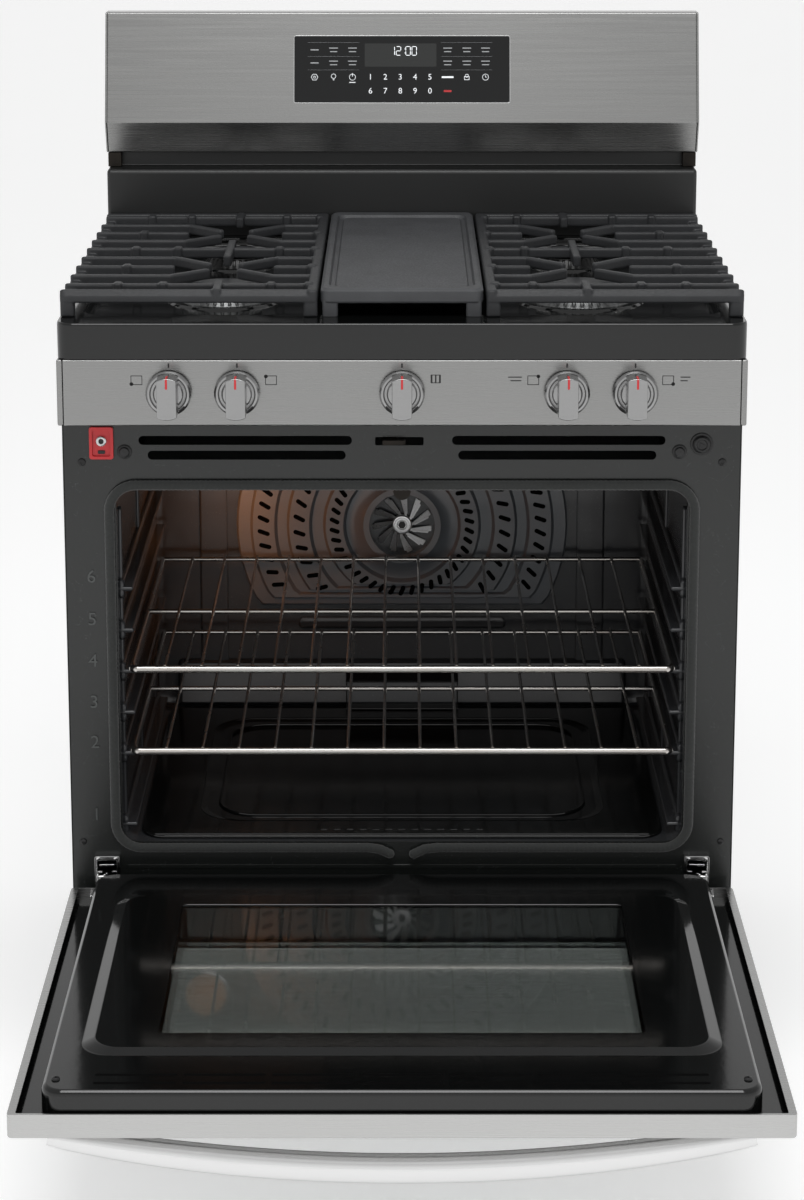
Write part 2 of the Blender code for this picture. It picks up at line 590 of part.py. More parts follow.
def build_knob(name, x):
    """A round skirt with a grip bar, on a valve stem that is pushed in before it turns."""
    rear, skirt_front, grip_front = -0.0035, -0.0110, -0.0385
    centre = (x, PANEL_Y, KNOB_Z)
    skirt = ((0.0232, skirt_front), (0.0250, skirt_front + 0.002), (0.0250, rear))
    knob = turned(name + "_knob", skirt, "Y", centre, BRIGHT_STEEL, 24)
    grip = prism(name + "_grip", rounded((-0.0108, 0.0108), (-0.0232, 0.0232), 0.007, 3), "Y",
                 grip_front, skirt_front + 0.004)
    grip.location = centre
    bore = turned(name + "_bore", ((0.0044, -0.0165), (0.0044, 0.0)), "Y", centre, None, 12)
    fuse(knob, grip)
    carve(knob, bore)
    stem = turned(name + "_stem", ((0.0040, -0.0160), (0.0040, 0.0245)), "Y", centre, BRASS, 12)
    push = pivot(name + "_push", centre)
    hang(push, stem, knob)


def build_latch_and_switch():
    latch = block("latch_hook", (-0.022, -0.006), (-0.0203, 0.012), (0.7700, 0.7762), BLACK_PLASTIC)
    fuse(latch, block("latch_tip", (-0.020, 0.004), (-0.0198, -0.0140), (0.7705, 0.7757)))
    hang(pivot("latch_slide", (0.0, FRAME_Y, 0.773)), latch)
    plunger = turned("door_switch", ((0.0085, -0.0060), (0.0095, -0.0050), (0.0095, 0.016)), "Y",
                     (0.3345, FRAME_Y, 0.770), BLACK_PLASTIC, 20)
    hang(pivot("switch_push", (0.3345, FRAME_Y, 0.770)), plunger)


# ---------------------------------------------------------------- door and drawer

def build_hinge_arm(side):
    """The claw on the cabinet that the door turns about: an eye, a bar and a lock lever."""
    x = span(side, HINGE_X - 0.005, HINGE_X + 0.005)
    arm = turned(sided(side, "hinge_arm"), ((0.0088, x[0]), (0.0088, x[1])), "X", (0.0, HINGE_Y, HINGE_Z),
                 GALVANISED, 16)
    plate = span(side, HINGE_X - 0.0048, HINGE_X + 0.0048)
    fuse(arm,
         block(sided(side, "claw"), plate, (HINGE_Y, FRAME_Y - GAP), (0.2405, 0.2525)),
         block(sided(side, "lever"), plate, (-0.0290, FRAME_Y - 0.0005), (0.2515, 0.2670)))


def build_door():
    """Open door: steel skin below, enamelled liner above, two panes and a bowed handle."""
    skin = block("door_skin", (-HALF, HALF), (FRONT_Y, DOOR_REAR_Y), (SKIN_LOW_Z, SKIN_HIGH_Z), STAINLESS)
    carve(skin,
          block("skin_hollow", (-HALF + SHEET, HALF - SHEET), (FRONT_Y + SHEET, DOOR_REAR_Y - SHEET),
                (SKIN_LOW_Z + SHEET, 0.300)),
          prism("skin_window", rounded((-0.250, 0.250), (-0.452, -0.162), 0.012, 3), "Z", 0.200, 0.240))
    edge = HALF - SHEET - GAP
    front, rear = FRONT_Y + SHEET + GAP, DOOR_REAR_Y - SHEET - GAP
    liner = block("door_liner", (-edge, edge), (front, rear), (0.2380, 0.2400), BLACK_ENAMEL)
    fuse(liner,
         prism("liner_box", rounded((-LINER_X, LINER_X), (-0.592, -0.038), 0.020), "Z", 0.2390, LINER_Z),
         prism("plateau", rounded((-0.318, 0.318), (-0.514, -0.105), 0.032), "Z", LINER_Z - 0.0006,
               PLATEAU_Z))
    carve(liner,
          prism("liner_hollow", rounded((-LINER_X + SHEET, LINER_X - SHEET), (-0.590, -0.040), 0.018), "Z",
                0.2300, LINER_Z - SHEET),
          prism("plateau_hollow", rounded((-0.316, 0.316), (-0.512, -0.107), 0.030), "Z", 0.2400,
                PLATEAU_Z - SHEET),
          prism("liner_window", rounded((-0.243, 0.243), (-0.472, -0.142), 0.006, 3), "Z", 0.260, 0.290))
    vents = bmesh.new()
    pitch, length = 0.094, 0.088
    for y in (-0.556, -0.574):
        for i in range(-3, 4):
            x = i * pitch
            slot = rounded((x - length / 2, x + length / 2), (y - 0.0025, y + 0.0025), 0.0024, 2)
            prism_mesh(slot, "Z", 0.262, 0.280, vents)
    carve(liner, place("vent_row_cutter", vents, None))
    for side in (-1, 1):
        notch = span(side, HINGE_X - 0.011, HINGE_X + 0.011)
        for piece, label in ((liner, "liner_notch"), (skin, "skin_notch")):
            carve(piece, block(sided(side, label), notch, (NOTCH_REACH_Y, -0.020), (0.2290, 0.290)))
    window = block("door_window", (-0.262, 0.262), (-0.464, -0.150), (SKIN_LOW_Z + SHEET + GAP, 0.2323),
                   DARK_GLASS)
    glass = block("door_glass", (-0.255, 0.255), (-0.484, -0.130), (0.2713, PLATEAU_Z - SHEET - GAP),
                  CLEAR_GLASS)
    hang(pivot("door_hinge", (0.0, HINGE_Y, HINGE_Z)), skin, liner, window, glass, build_handle())


def build_handle():
    """A bar of oval section bowed away from the door face, its ends on the face."""
    bow, half_height, half_depth, steps = 0.0355, 0.0155, 0.0115, 16
    rings = []
    for i in range(steps + 1):
        reach = -1 + 2 * i / steps
        height = half_height - 0.0048 * reach ** 4
        z = HANDLE_MID_Z + bow * reach ** 2 - 0.0005
        ring = circle(1.0, 12)
        rings.append([(HANDLE_X * reach, HANDLE_Y + half_depth * a, z + height * b) for a, b in ring])
    handle = place("door_handle", loft_mesh(rings), BRIGHT_STEEL)
    handle.data.shade_smooth()
    handle.data.set_sharp_from_angle(angle=math.radians(35))
    return handle


def build_drawer():
    face_y, low_z = PANEL_Y - 0.016, 0.060
    front = block("drawer_front", (-HALF, HALF), (face_y, FRAME_Y - 0.0015), (low_z, DRAWER_FRONT_HIGH_Z),
                  STAINLESS)
    carve(front, block("front_hollow", (-HALF + SHEET, HALF - SHEET), (face_y + SHEET, 0.010),
                       (low_z + SHEET, DRAWER_FRONT_HIGH_Z - SHEET)))
    box_y = (face_y + SHEET + GAP, 0.500)
    box = block("drawer_box", (-DRAWER_X, DRAWER_X), box_y, (DRAWER_LOW_Z, DRAWER_HIGH_Z), GALVANISED)
    carve(box, block("drawer_room", (-DRAWER_X + SHEET, DRAWER_X - SHEET),
                     (box_y[0] + SHEET, box_y[1] - SHEET), (DRAWER_LOW_Z + SHEET, 0.300)))
    hang(pivot("drawer_slide", (0.0, PANEL_Y, 0.120)), front, box)


def main():
    clear_scene()
    for side in (-1, 1):
        build_side_panel(side)
        build_hinge_arm(side)
        build_grate(side)
    build_back_panel()
    build_base_frame()
    build_feet()
    build_oven_liner()
    build_oven_floor()
    build_door_gasket()
    build_probe_socket()
    build_backguard()
    build_fan_baffle()
    build_fan()
    build_burner_tubes()
    build_oven_lamp()
    build_racks()
    build_cooktop()
    build_burners()
    build_griddle()
    build_control_panel()
    build_gas_manifold()
    for name, x in zip(KNOB_NAMES, KNOB_XS):
        build_knob(name, x)
    build_latch_and_switch()
    build_door()
    build_drawer()
    bpy.context.view_layer.update()


main()
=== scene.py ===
"""Freestanding gas range with its oven door open: finished surfaces, materials, stage and camera.

Frame: metres, +Z up, +X to the cook's right, the cook stands on the -Y side. Every shape is a
surface worked out with numpy: rings of points nested round a form, or a section carried along
a path.
"""
import json
import math

import bmesh
import bpy
import numpy as np
from bpy.props import FloatProperty, FloatVectorProperty, IntProperty, PointerProperty
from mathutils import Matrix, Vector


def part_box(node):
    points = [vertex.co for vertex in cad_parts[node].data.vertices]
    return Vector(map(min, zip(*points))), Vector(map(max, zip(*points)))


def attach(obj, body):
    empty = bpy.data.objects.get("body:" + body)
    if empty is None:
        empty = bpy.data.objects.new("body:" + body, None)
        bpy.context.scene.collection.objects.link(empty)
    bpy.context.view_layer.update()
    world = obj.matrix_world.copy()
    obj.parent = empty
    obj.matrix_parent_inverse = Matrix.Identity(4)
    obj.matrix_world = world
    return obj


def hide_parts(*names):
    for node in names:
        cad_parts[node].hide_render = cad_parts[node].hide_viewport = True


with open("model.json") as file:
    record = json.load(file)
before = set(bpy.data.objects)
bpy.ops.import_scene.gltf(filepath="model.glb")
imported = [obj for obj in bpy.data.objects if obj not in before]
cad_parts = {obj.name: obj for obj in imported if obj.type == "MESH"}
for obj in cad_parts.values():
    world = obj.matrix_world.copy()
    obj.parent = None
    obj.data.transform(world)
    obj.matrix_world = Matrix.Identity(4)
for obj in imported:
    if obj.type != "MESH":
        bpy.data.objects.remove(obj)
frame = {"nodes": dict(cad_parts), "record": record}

bl_info = {
    "name": "Freestanding Gas Range",
    "version": (1, 0, 0),
    "blender": (4, 5, 0),
    "location": "3D View > Sidebar > Gas Range",
    "description": "Builds the finished surfaces of a freestanding gas range on its CAD frame",
    "category": "Object",
}

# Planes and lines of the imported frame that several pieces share
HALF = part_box("control_panel")[1].x
PANEL_Y, FRAME_Y = -0.052, -0.012
BODY_LOW_Z, BODY_HIGH_Z = 0.040, 0.8742
BODY_REAR_Y, BACK_Y, FRONT_Y = 0.588, 0.598, -0.598
COOKTOP_Z, WELL_Z = 0.915, 0.905
CAVITY_X, CAVITY_LOW_Z, CAVITY_HIGH_Z, CAVITY_REAR_Y = 0.321, 0.300, 0.720, 0.478
RACK_LEVELS = (0.3205, 0.4065, 0.4555, 0.5045, 0.5535, 0.6025)
FAN_Z, BAFFLE_Y = 0.546, 0.463
KNOB_Z = 0.838
KNOBS = {"left_front": -0.256, "left_rear": -0.181, "centre": 0.0, "right_rear": 0.181,
         "right_front": 0.256}
BURNERS = {"left_front": (-0.205, 0.137, 0.0515, 0.0435),
           "left_rear": (-0.205, 0.371, 0.0400, 0.0330), "centre": (0.0, 0.250, 0.0365, 0.0300),
           "right_rear": (0.205, 0.371, 0.0400, 0.0330),
           "right_front": (0.205, 0.137, 0.0600, 0.0505)}
CREASE, CREST = np.array((0.531, 1.060)), np.array((0.568, 1.197))
HINGE_AXIS = (0, -0.0475, 0.2465)
LAMP_SPOT = (-0.262, CAVITY_REAR_Y, 0.655)
SWITCH_X, SWITCH_Z = 0.3345, 0.770
JACK_X, JACK_Z = -0.3355, 0.7738

# Printed marks: how thick the ink stands on glass and on steel, and how far its rims are rounded
INK, PANEL_INK, INK_RIM, INK_CUT_RIM = 0.0001, 0.00012, 0.00003, 0.00002

# Points closer than this are one point; how hard castings are smoothed and the share of faces kept
WELD_DISTANCE = 2e-6
CAST_SOFTENING, CAST_FACES_KEPT = 0.3, 0.26

GLAZE_IOR = 1.52  # refractive index of porcelain glaze and window glass

FLOOR_REACH = 60.0
CAMERA_LENS_MM, CAMERA_SHIFT, CAMERA_PITCH = 88.27, -0.20, 11.979
CAMERA_SPOT = (0.0, -3.2054, 1.5433)


def linear(code):
    """An sRGB hex colour as linear red, green and blue."""
    channel = np.array([int(code[i:i + 2], 16) for i in (1, 3, 5)]) / 255
    low = channel <= 0.04045
    return tuple(np.where(low, channel / 12.92, ((channel + 0.055) / 1.055) ** 2.4).tolist())


# ---------------------------------------------------------------- settings

def length(name, description, default):
    return FloatProperty(name=name, description=description, default=default, min=0.0, precision=4,
                         subtype="DISTANCE", unit="LENGTH")


def colour(name, description, code):
    return FloatVectorProperty(name=name, description=description, default=linear(code), size=3,
                               min=0.0, max=1.0, subtype="COLOR")


class RangeSizes(bpy.types.PropertyGroup):
    """Small sizes of the finished surfaces"""
    fold: length("Sheet fold", "Outer radius where sheet steel is folded", 0.0022)
    enamel_edge: length("Enamel edge", "Radius that enamel leaves on a pressed edge", 0.0045)
    gasket_strand: length("Gasket strand", "Pitch of the braid along the door gasket", 0.0052)
    rack_bar: length("Rack bar", "Radius of the racks' heavy front bar", 0.0043)
    rack_wire: length("Rack wire", "Radius of the racks' light wires", 0.0019)
    cast_cell: length("Casting detail", "Cell size that rounds the cast grates' edges", 0.0012)
    burner_ports: IntProperty(name="Burner ports", description="Flame ports round a large burner",
                              default=36, min=12, max=60)


class RangeColours(bpy.types.PropertyGroup):
    """Colours of the finishes"""
    stainless: colour("Stainless steel", "Brushed sheet of the panels and door", "#939392")
    bright: colour("Bright steel", "Plated racks and polished knobs", "#c4c4c4")
    black_enamel: colour("Black enamel", "Glossy porcelain of the hob and door liner", "#0b0c0c")
    grey_enamel: colour("Grey enamel", "Porcelain of the oven and its front frame", "#181a19")
    iron: colour("Cast iron", "Matte enamelled castings of the grates", "#1b1c1e")
    galvanised: colour("Galvanised steel", "Zinc coated sheet of the chassis", "#9ea0a1")
    aluminium: colour("Cast aluminium", "Burner heads and the fan", "#929393")
    brass: colour("Brass", "Valve stems", "#c8a05a")
    gasket: colour("Gasket fibre", "Woven glass rope round the oven mouth", "#2e302f")
    red: colour("Red plastic", "Probe socket and pointer lines", "#c2262b")
    black_plastic: colour("Black plastic", "Feet, bumpers and the door switch", "#141415")
    print_white: colour("Printed white", "Lettering ink and lit segments", "#e9ecef")


def sizes():
    return bpy.context.scene.range_sizes


def shade(name):
    return (*getattr(bpy.context.scene.range_colours, name), 1.0)


# ---------------------------------------------------------------- arrays of points

def unit(vectors):
    return vectors / np.maximum(np.linalg.norm(vectors, axis=-1, keepdims=True), 1e-12)


def fillet(corners, radius, steps=4, closed=True):
    """Rounded corners. Between A and B, a reach to either side of corner C, the arc is ((1-s)^2 A
    + 2 w s (1-s) C + s^2 B) / ((1-s)^2 + 2 w s (1-s) + s^2), w being the sine of half the
    corner."""
    c = np.asarray(corners, float)
    before, after = np.roll(c, 1, 0) - c, np.roll(c, -1, 0) - c
    room = np.minimum(np.linalg.norm(before, axis=1), np.linalg.norm(after, axis=1)) * 0.499
    a, b = unit(before), unit(after)
    half = np.arccos(np.clip((a * b).sum(-1), -1, 1)) / 2
    reach = np.minimum(np.broadcast_to(radius, len(c)) / np.maximum(np.tan(half), 1e-6), room)
    if not closed:
        reach[[0, -1]] = 0
    s = np.linspace(0, 1, steps + 1)[None, :, None]
    w = np.sin(half)[:, None, None]
    weights = ((1 - s) ** 2, 2 * w * s * (1 - s), s ** 2)
    ends = ((c + a * reach[:, None])[:, None], c[:, None], (c + b * reach[:, None])[:, None])
    points = (sum(k * e for k, e in zip(weights, ends)) / sum(weights)).reshape(-1, c.shape[1])
    step = np.linalg.norm(points - np.roll(points, 1, 0), axis=1)
    return points[(step > 1e-7) | (np.arange(len(points)) == 0)]


def round_rects(low_a, high_a, low_b, high_b, corner, arc=6):
    """Rings of rectangles with round corners: centre of each corner plus corner (cos t, sin t)."""
    low_a, high_a, low_b, high_b, corner = (np.atleast_1d(np.asarray(v, float))[:, None]
                                            for v in (low_a, high_a, low_b, high_b, corner))
    turn = (np.arange(4)[:, None] * np.pi / 2 + np.linspace(0, np.pi / 2, arc + 1)).ravel()
    right, upper = (np.repeat(side, arc + 1).astype(bool) for side in ((1, 0, 0, 1), (1, 1, 0, 0)))
    a = np.where(right, high_a - corner, low_a + corner) + corner * np.cos(turn)
    b = np.where(upper, high_b - corner, low_b + corner) + corner * np.sin(turn)
    return np.stack([a, b], -1)


def rectangle(a, b, corner, arc=6):
    return round_rects(a[0], a[1], b[0], b[1], corner, arc)[0]


def disc(radius, sides=40, centre=(0.0, 0.0)):
    turn = np.linspace(0, 2 * np.pi, sides, endpoint=False)
    return np.stack([centre[0] + radius * np.cos(turn), centre[1] + radius * np.sin(turn)], -1)


def inset(outline, distance):
    """Copies of an outline moved inwards: each corner goes along the bisector of its two edges, by
    the distance over the cosine of half the turn."""
    ahead = unit(np.roll(outline, -1, 0) - outline)
    normal = np.stack([-ahead[:, 1], ahead[:, 0]], -1)
    bisector = unit(normal + np.roll(normal, 1, 0))
    bisector /= np.maximum((bisector * normal).sum(-1, keepdims=True), 0.5)
    x, y = outline.T
    turn = np.sign(np.sum(x * np.roll(y, -1) - y * np.roll(x, -1)))
    return outline + turn * bisector * np.asarray(distance, float)[..., None, None]


def raised(flat, level, axis):
    """Flat points given their level along an axis; the flat pair fills the other two
    coordinates."""
    level = np.broadcast_to(np.asarray(level, float)[:, None, None], flat.shape[:-1] + (1,))
    at = "XYZ".index(axis)
    return np.concatenate([flat[..., :at], level, flat[..., at:]], -1)


# ---------------------------------------------------------------- shells: points and their faces

def skin(rings, loop=False):
    """Four-sided faces between neighbouring rings of points; one face closes each end unless it
    loops."""
    rows, count = rings.shape[:2]
    index = np.arange(rows * count).reshape(rows, count)
    wide = np.hstack([index, index[:, :1]])
    if loop:
        wide = np.vstack([wide, wide[:1]])
    corners = [wide[:-1, :-1], wide[:-1, 1:], wide[1:, 1:], wide[1:, :-1]]
    faces = np.stack(corners, -1).reshape(-1, 4).tolist()
    if not loop:
        faces += [index[0, ::-1].tolist(), index[-1].tolist()]
    return rings.reshape(-1, 3), faces


def join(*shells):
    starts = np.cumsum([0] + [len(points) for points, _ in shells])
    faces = [[corner + start for corner in face]
             for (_, part), start in zip(shells, starts.tolist()) for face in part]
    return np.concatenate([points for points, _ in shells]), faces


def nest(rows, axis="Z", bend=0.0, loop=False, arc=6, steps=4):
    """Round-cornered rings in a row, each (low a, high a, low b, high b, corner, level), with the
    bends between them rounded: the form of a pressed pan."""
    rows = fillet(rows, bend, steps, closed=loop) if bend else np.asarray(rows, float)
    return skin(raised(round_rects(*rows.T[:5], arc), rows[:, 5], axis), loop)


def even(rows):
    """Rows for nest that reach as far to one side as to the other, written with one half width."""
    return [(-row[0], *row) for row in rows]


def slab(outline, low, high, edge=0.0008, axis="Z", steps=3):
    """An outline given thickness, with rims rounded by the quarter circle
    inset = edge (1 - sin t), rise = edge (1 - cos t)."""
    t = np.linspace(0, np.pi / 2, steps + 1)
    step_in, rise = edge * (1 - np.sin(t)), edge * (1 - np.cos(t))
    level = np.concatenate([low + rise, high - rise[::-1]])
    return skin(raised(inset(np.asarray(outline, float), np.r_[step_in, step_in[::-1]]), level,
                       axis))


def block(a, b, corner, arc, low, high, edge=0.0008, axis="Z", steps=3):
    """A round-cornered rectangle given thickness."""
    return slab(rectangle(a, b, corner, arc), low, high, edge, axis, steps)


def aim(points, axis):
    """Points made about Z laid over onto another axis."""
    return points[:, {"X": [2, 0, 1], "Y": [0, 2, 1], "Z": [0, 1, 2]}[axis]]


def turned(profile, centre, axis="Z", sides=48, wave=None, stretch=1.0):
    """A profile of (radius, height) carried round an axis: (r cos t, r sin t, h). A wave
    multiplies r by a function of t and the row number."""
    radius, along = np.asarray(profile, float).T
    t = np.linspace(0, 2 * np.pi, sides, endpoint=False)
    r = radius[:, None] * np.ones(sides)
    if wave is not None:
        r = r * wave(t[None, :], np.arange(len(radius))[:, None])
    rings = np.stack([r * np.cos(t), stretch * r * np.sin(t), np.repeat(along[:, None], sides, 1)],
                     -1)
    points, faces = skin(rings)
    return aim(points, axis) + np.asarray(centre, float), faces


def pipe(path, radius, up=(0, 0, 1), sides=12, dome=True, loop=False):
    """A round or oval section carried along a path: P + a cos t S + b sin t O, where S and O stand
    across the path; the ends are rounded off by shrinking the section over one radius."""
    path = np.asarray(path, float)
    radius = np.broadcast_to(np.asarray(radius, float).reshape(-1, 1 if np.ndim(radius) < 2
                                                               else 2), (len(path), 2)).copy()
    if dome and not loop:
        t = np.radians((12, 35, 60))[:, None]
        for end, into in ((0, 1), (-1, -2)):
            along = unit(path[into] - path[end])
            extra = path[end] + along * radius[end].mean() * (1 - np.sin(t))
            small = radius[end] * np.sin(t) ** 0.5
            path[end] = path[end] + along * radius[end].mean()
            order = slice(None) if end == 0 else slice(None, None, -1)
            parts = ((extra[order], path), (small[order], radius))
            path, radius = (np.concatenate(pair if end == 0 else pair[::-1]) for pair in parts)
    along = unit(np.roll(path, -1, 0) - np.roll(path, 1, 0)) if loop else unit(np.gradient(path,
                                                                                           axis=0))
    across = unit(np.cross(along, np.asarray(up, float)))
    other = np.cross(across, along)
    t = np.linspace(0, 2 * np.pi, sides, endpoint=False)[None, :, None]
    rings = (path[:, None] + across[:, None] * radius[:, None, :1] * np.cos(t)
             + other[:, None] * radius[:, None, 1:] * np.sin(t))
    return skin(rings, loop)


def in_scene(name, data):
    """An object of that name holding the data, linked into the scene."""
    made = bpy.data.objects.new(name, data)
    bpy.context.scene.collection.objects.link(made)
    return made


def evaluated(holder):
    """The points and faces of an object once its text or modifiers are worked out; it is then
    removed."""
    seen = holder.evaluated_get(bpy.context.evaluated_depsgraph_get())
    mesh = bpy.data.meshes.new_from_object(seen)
    points = np.empty(len(mesh.vertices) * 3)
    mesh.vertices.foreach_get("co", points)
    faces = [list(face.vertices) for face in mesh.polygons]
    bpy.data.objects.remove(holder)
    bpy.data.meshes.remove(mesh)
    return points.reshape(-1, 3), faces


def mesh_of(name, shell, weld=False):
    """A mesh made from a shell, faces outwards, with doubled points merged where asked."""
    mesh = bpy.data.meshes.new(name)
    mesh.from_pydata(shell[0].tolist(), [], shell[1])
    bm = bmesh.new()
    bm.from_mesh(mesh)
    if weld:
        bmesh.ops.remove_doubles(bm, verts=bm.verts, dist=WELD_DISTANCE)
    bmesh.ops.recalc_face_normals(bm, faces=bm.faces)
    bm.to_mesh(mesh)
    bm.free()
    return mesh


def plate(loops, low, high, edge=0.0003, axis="Z"):
    """Sheet cut to an outer loop with holes in it: the area between the loops, from low to
    high."""
    curve = bpy.data.curves.new("outline", "CURVE")
    curve.dimensions, curve.fill_mode = "2D", "BOTH"
    curve.extrude, curve.bevel_depth, curve.bevel_resolution = (high - low) / 2 - edge, edge, 1
    curve.offset = -edge
    for loop in loops:
        spline = curve.splines.new("POLY")
        spline.points.add(len(loop) - 1)
        spline.points.foreach_set("co",
                                  np.c_[loop, np.zeros(len(loop)), np.ones(len(loop))].ravel())
        spline.use_cyclic_u = True
    points, faces = evaluated(in_scene("outline", curve))
    bpy.data.curves.remove(curve)
    points[:, 2] += (low + high) / 2
    return aim(points, axis), faces


def glyphs(text, height, depth):
    """Digits standing up in X and Z, centred on the origin, with their thickness along Y."""
    font = bpy.data.curves.new("digits", "FONT")
    digit_share = 0.70  # how much of the font size a digit takes up
    font.body, font.size, font.extrude = text, height / digit_share, depth / 2
    font.align_x, font.align_y, font.resolution_u = "CENTER", "CENTER", 3
    points, faces = evaluated(in_scene("outline", font))
    bpy.data.curves.remove(font)
    return points[:, [0, 2, 1]], faces


def moved(shell, *shifts):
    """Copies of a shell, one at each shift."""
    points, faces = shell
    return join(*[(points + np.asarray(shift, float), faces) for shift in shifts])


def spun(shell, turns, axis="Z", centre=(0.0, 0.0, 0.0)):
    """Copies of a shell turned about an axis through a centre: p' = R (p - c) + c."""
    centre = np.asarray(centre, float)
    first, second = {"X": (1, 2), "Y": (0, 2), "Z": (0, 1)}[axis]
    copies = []
    for turn in np.atleast_1d(turns):
        spin = np.eye(3)
        spin[[first, second], [first, second]] = math.cos(turn)
        spin[first, second], spin[second, first] = -math.sin(turn), math.sin(turn)
        copies.append(((shell[0] - centre) @ spin.T + centre, shell[1]))
    return join(*copies)


def both_sides(shell):
    """A shell and its mirror image across X = 0."""
    return join(shell, mirrored(shell, -1))


def mirrored(shell, side):
    """The shell as it is for side 1, and its mirror image across X = 0 for side -1."""
    return shell[0] * (side, 1, 1), shell[1]


def lathe(profile, radius, spot, axis="Z", sides=48, **more):
    """A turned part whose open profile has its corners rounded first."""
    return turned(fillet(profile, radius, 3, False), spot, axis, sides, **more)


def piece(name, shell, finish, body="cabinet", replaces=(), angle=32):
    """Turn a shell into a finished object: doubles merged, faces outwards, smooth up to an
    angle."""
    mesh = mesh_of(name, shell, weld=True)
    mesh.shade_smooth()
    mesh.set_sharp_from_angle(angle=math.radians(angle))
    mesh.materials.append(finish)
    made = in_scene(name, mesh)
    shading = made.modifiers.new("even_shading", "WEIGHTED_NORMAL")
    shading.keep_sharp = True
    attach(made, body)
    if replaces:
        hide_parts(*([replaces] if isinstance(replaces, str) else replaces))
    return made


# ---------------------------------------------------------------- finishes

def node(tree, kind, inputs=None, **settings):
    """Add a shader node, set its attributes, and set or link each of its inputs."""
    made = tree.nodes.new("ShaderNode" + kind)
    for key, value in settings.items():
        setattr(made, key, value)
    for socket, value in (inputs or {}).items():
        if isinstance(value, bpy.types.NodeSocket):
            tree.links.new(value, made.inputs[socket])
        else:
            made.inputs[socket].default_value = value
    return made


def pattern(tree, kind, feature, inputs=None, **settings):
    """A texture on Object coordinates whose features measure `feature` metres along X, Y and Z."""
    place = node(tree, "TexCoord").outputs["Object"]
    scaled = node(tree, "Mapping", {"Vector": place, "Scale": tuple(1 / size for size in feature)})
    return node(tree, kind, {"Vector": scaled.outputs[0], "Scale": 1.0, **(inputs or {})},
                **settings)


def noise(tree, feature, detail):
    """Soft noise from 0 to 1, its features one size all ways or three sizes along X, Y and Z."""
    feature = feature if isinstance(feature, tuple) else (feature,) * 3
    return pattern(tree, "TexNoise", feature, {"Detail": detail}).outputs["Fac"]


def spread(tree, value, low, high, start=0.0, stop=1.0):
    """A value that goes from start to stop, brought to go from low to high."""
    return node(tree, "MapRange", {"Value": value, "From Min": start, "From Max": stop,
                                   "To Min": low, "To Max": high}).outputs[0]


def noise_spread(tree, value, low, high):
    """The same for plain noise, whose values nearly all lie in the middle of its range."""
    return spread(tree, value, low, high, 0.3, 0.7)


def mixed(tree, amount, first, second):
    return node(tree, "Mix", {0: amount, 6: first, 7: second}, data_type="RGBA").outputs[2]


def relief(tree, height, distance, strength):
    return node(tree, "Bump", {"Height": height, "Distance": distance,
                               "Strength": strength}).outputs[0]


def solid(code):
    """An sRGB hex colour as an opaque linear colour."""
    return (*linear(code), 1.0)


def scaled_tint(tint, factor):
    return (*(channel * factor for channel in tint[:3]), 1.0)


def metal(tone, rough, **more):
    return {"Base Color": tone, "Metallic": 1.0, "Roughness": rough, **more}


def finish(name, build):
    """The material of that name, built the first time it is asked for."""
    made = bpy.data.materials.get(name)
    if made is None:
        made = bpy.data.materials.new(name)
        made.use_nodes = True
        made.node_tree.nodes.clear()
        tree = made.node_tree
        shader = node(tree, "BsdfPrincipled", build(tree))
        node(tree, "OutputMaterial", {"Surface": shader.outputs[0]})
    return made


def brushed_stainless(name="brushed_stainless_steel", tint=None):
    """Stainless sheet brushed from side to side: fine long lines that smear highlights across
    them."""
    tint = tint or shade("stainless")

    def build(tree):
        # brush lines are about 0.2 mm wide; 1.1 mm is as fine as the view shows
        lines = noise(tree, (0.16, 0.0011, 0.0011), 3.0)
        streak = mixed(tree, lines, scaled_tint(tint, 0.90), tint)
        tone = mixed(tree, noise(tree, (0.35, 0.2, 0.2), 1.0), streak, tint)
        return metal(tone, noise_spread(tree, lines, 0.20, 0.31),
                     Normal=relief(tree, lines, 0.00004, 0.4))
    return finish(name, build)


def bright_steel():
    """Polished and plated steel: near mirror, with faint draw marks."""
    def build(tree):
        marks = noise(tree, (0.02, 0.003, 0.003), 2.0)
        return metal(shade("bright"), noise_spread(tree, marks, 0.10, 0.22),
                     Normal=relief(tree, marks, 0.00003, 0.4))
    return finish("polished_steel", build)


def satin_steel(name, tint):
    """Bright steel with a fine satin grain along it: clean soft highlights."""
    def build(tree):
        grain = noise(tree, (0.12, 0.0012, 0.0012), 2.0)
        return metal(tint, noise_spread(tree, grain, 0.17, 0.27))
    return finish(name, build)


def chrome_wire():
    """Nickel-chrome plated wire: bright, slightly yellowed and duller where oven heat has reached
    it."""
    def build(tree):
        heat = noise(tree, (0.10, 0.10, 0.05), 2.0)
        tone = mixed(tree, heat, shade("bright"), solid("#b3aaa0"))
        return metal(tone, noise_spread(tree, heat, 0.14, 0.30))
    return finish("chrome_plated_wire", build)


def gloss_enamel(name="black_porcelain_enamel", smooth=0.07, dusty=0.16):
    """Black porcelain enamel fired on steel: deep gloss with a faint orange peel."""
    def build(tree):
        dust = noise(tree, 0.0016, 2.0)
        return {"Base Color": shade("black_enamel"), "IOR": GLAZE_IOR,
                "Roughness": spread(tree, dust, smooth, dusty, 0.35, 0.75),
                "Normal": relief(tree, noise(tree, 0.007, 1.5), 0.00006, 0.5)}
    return finish(name, build)


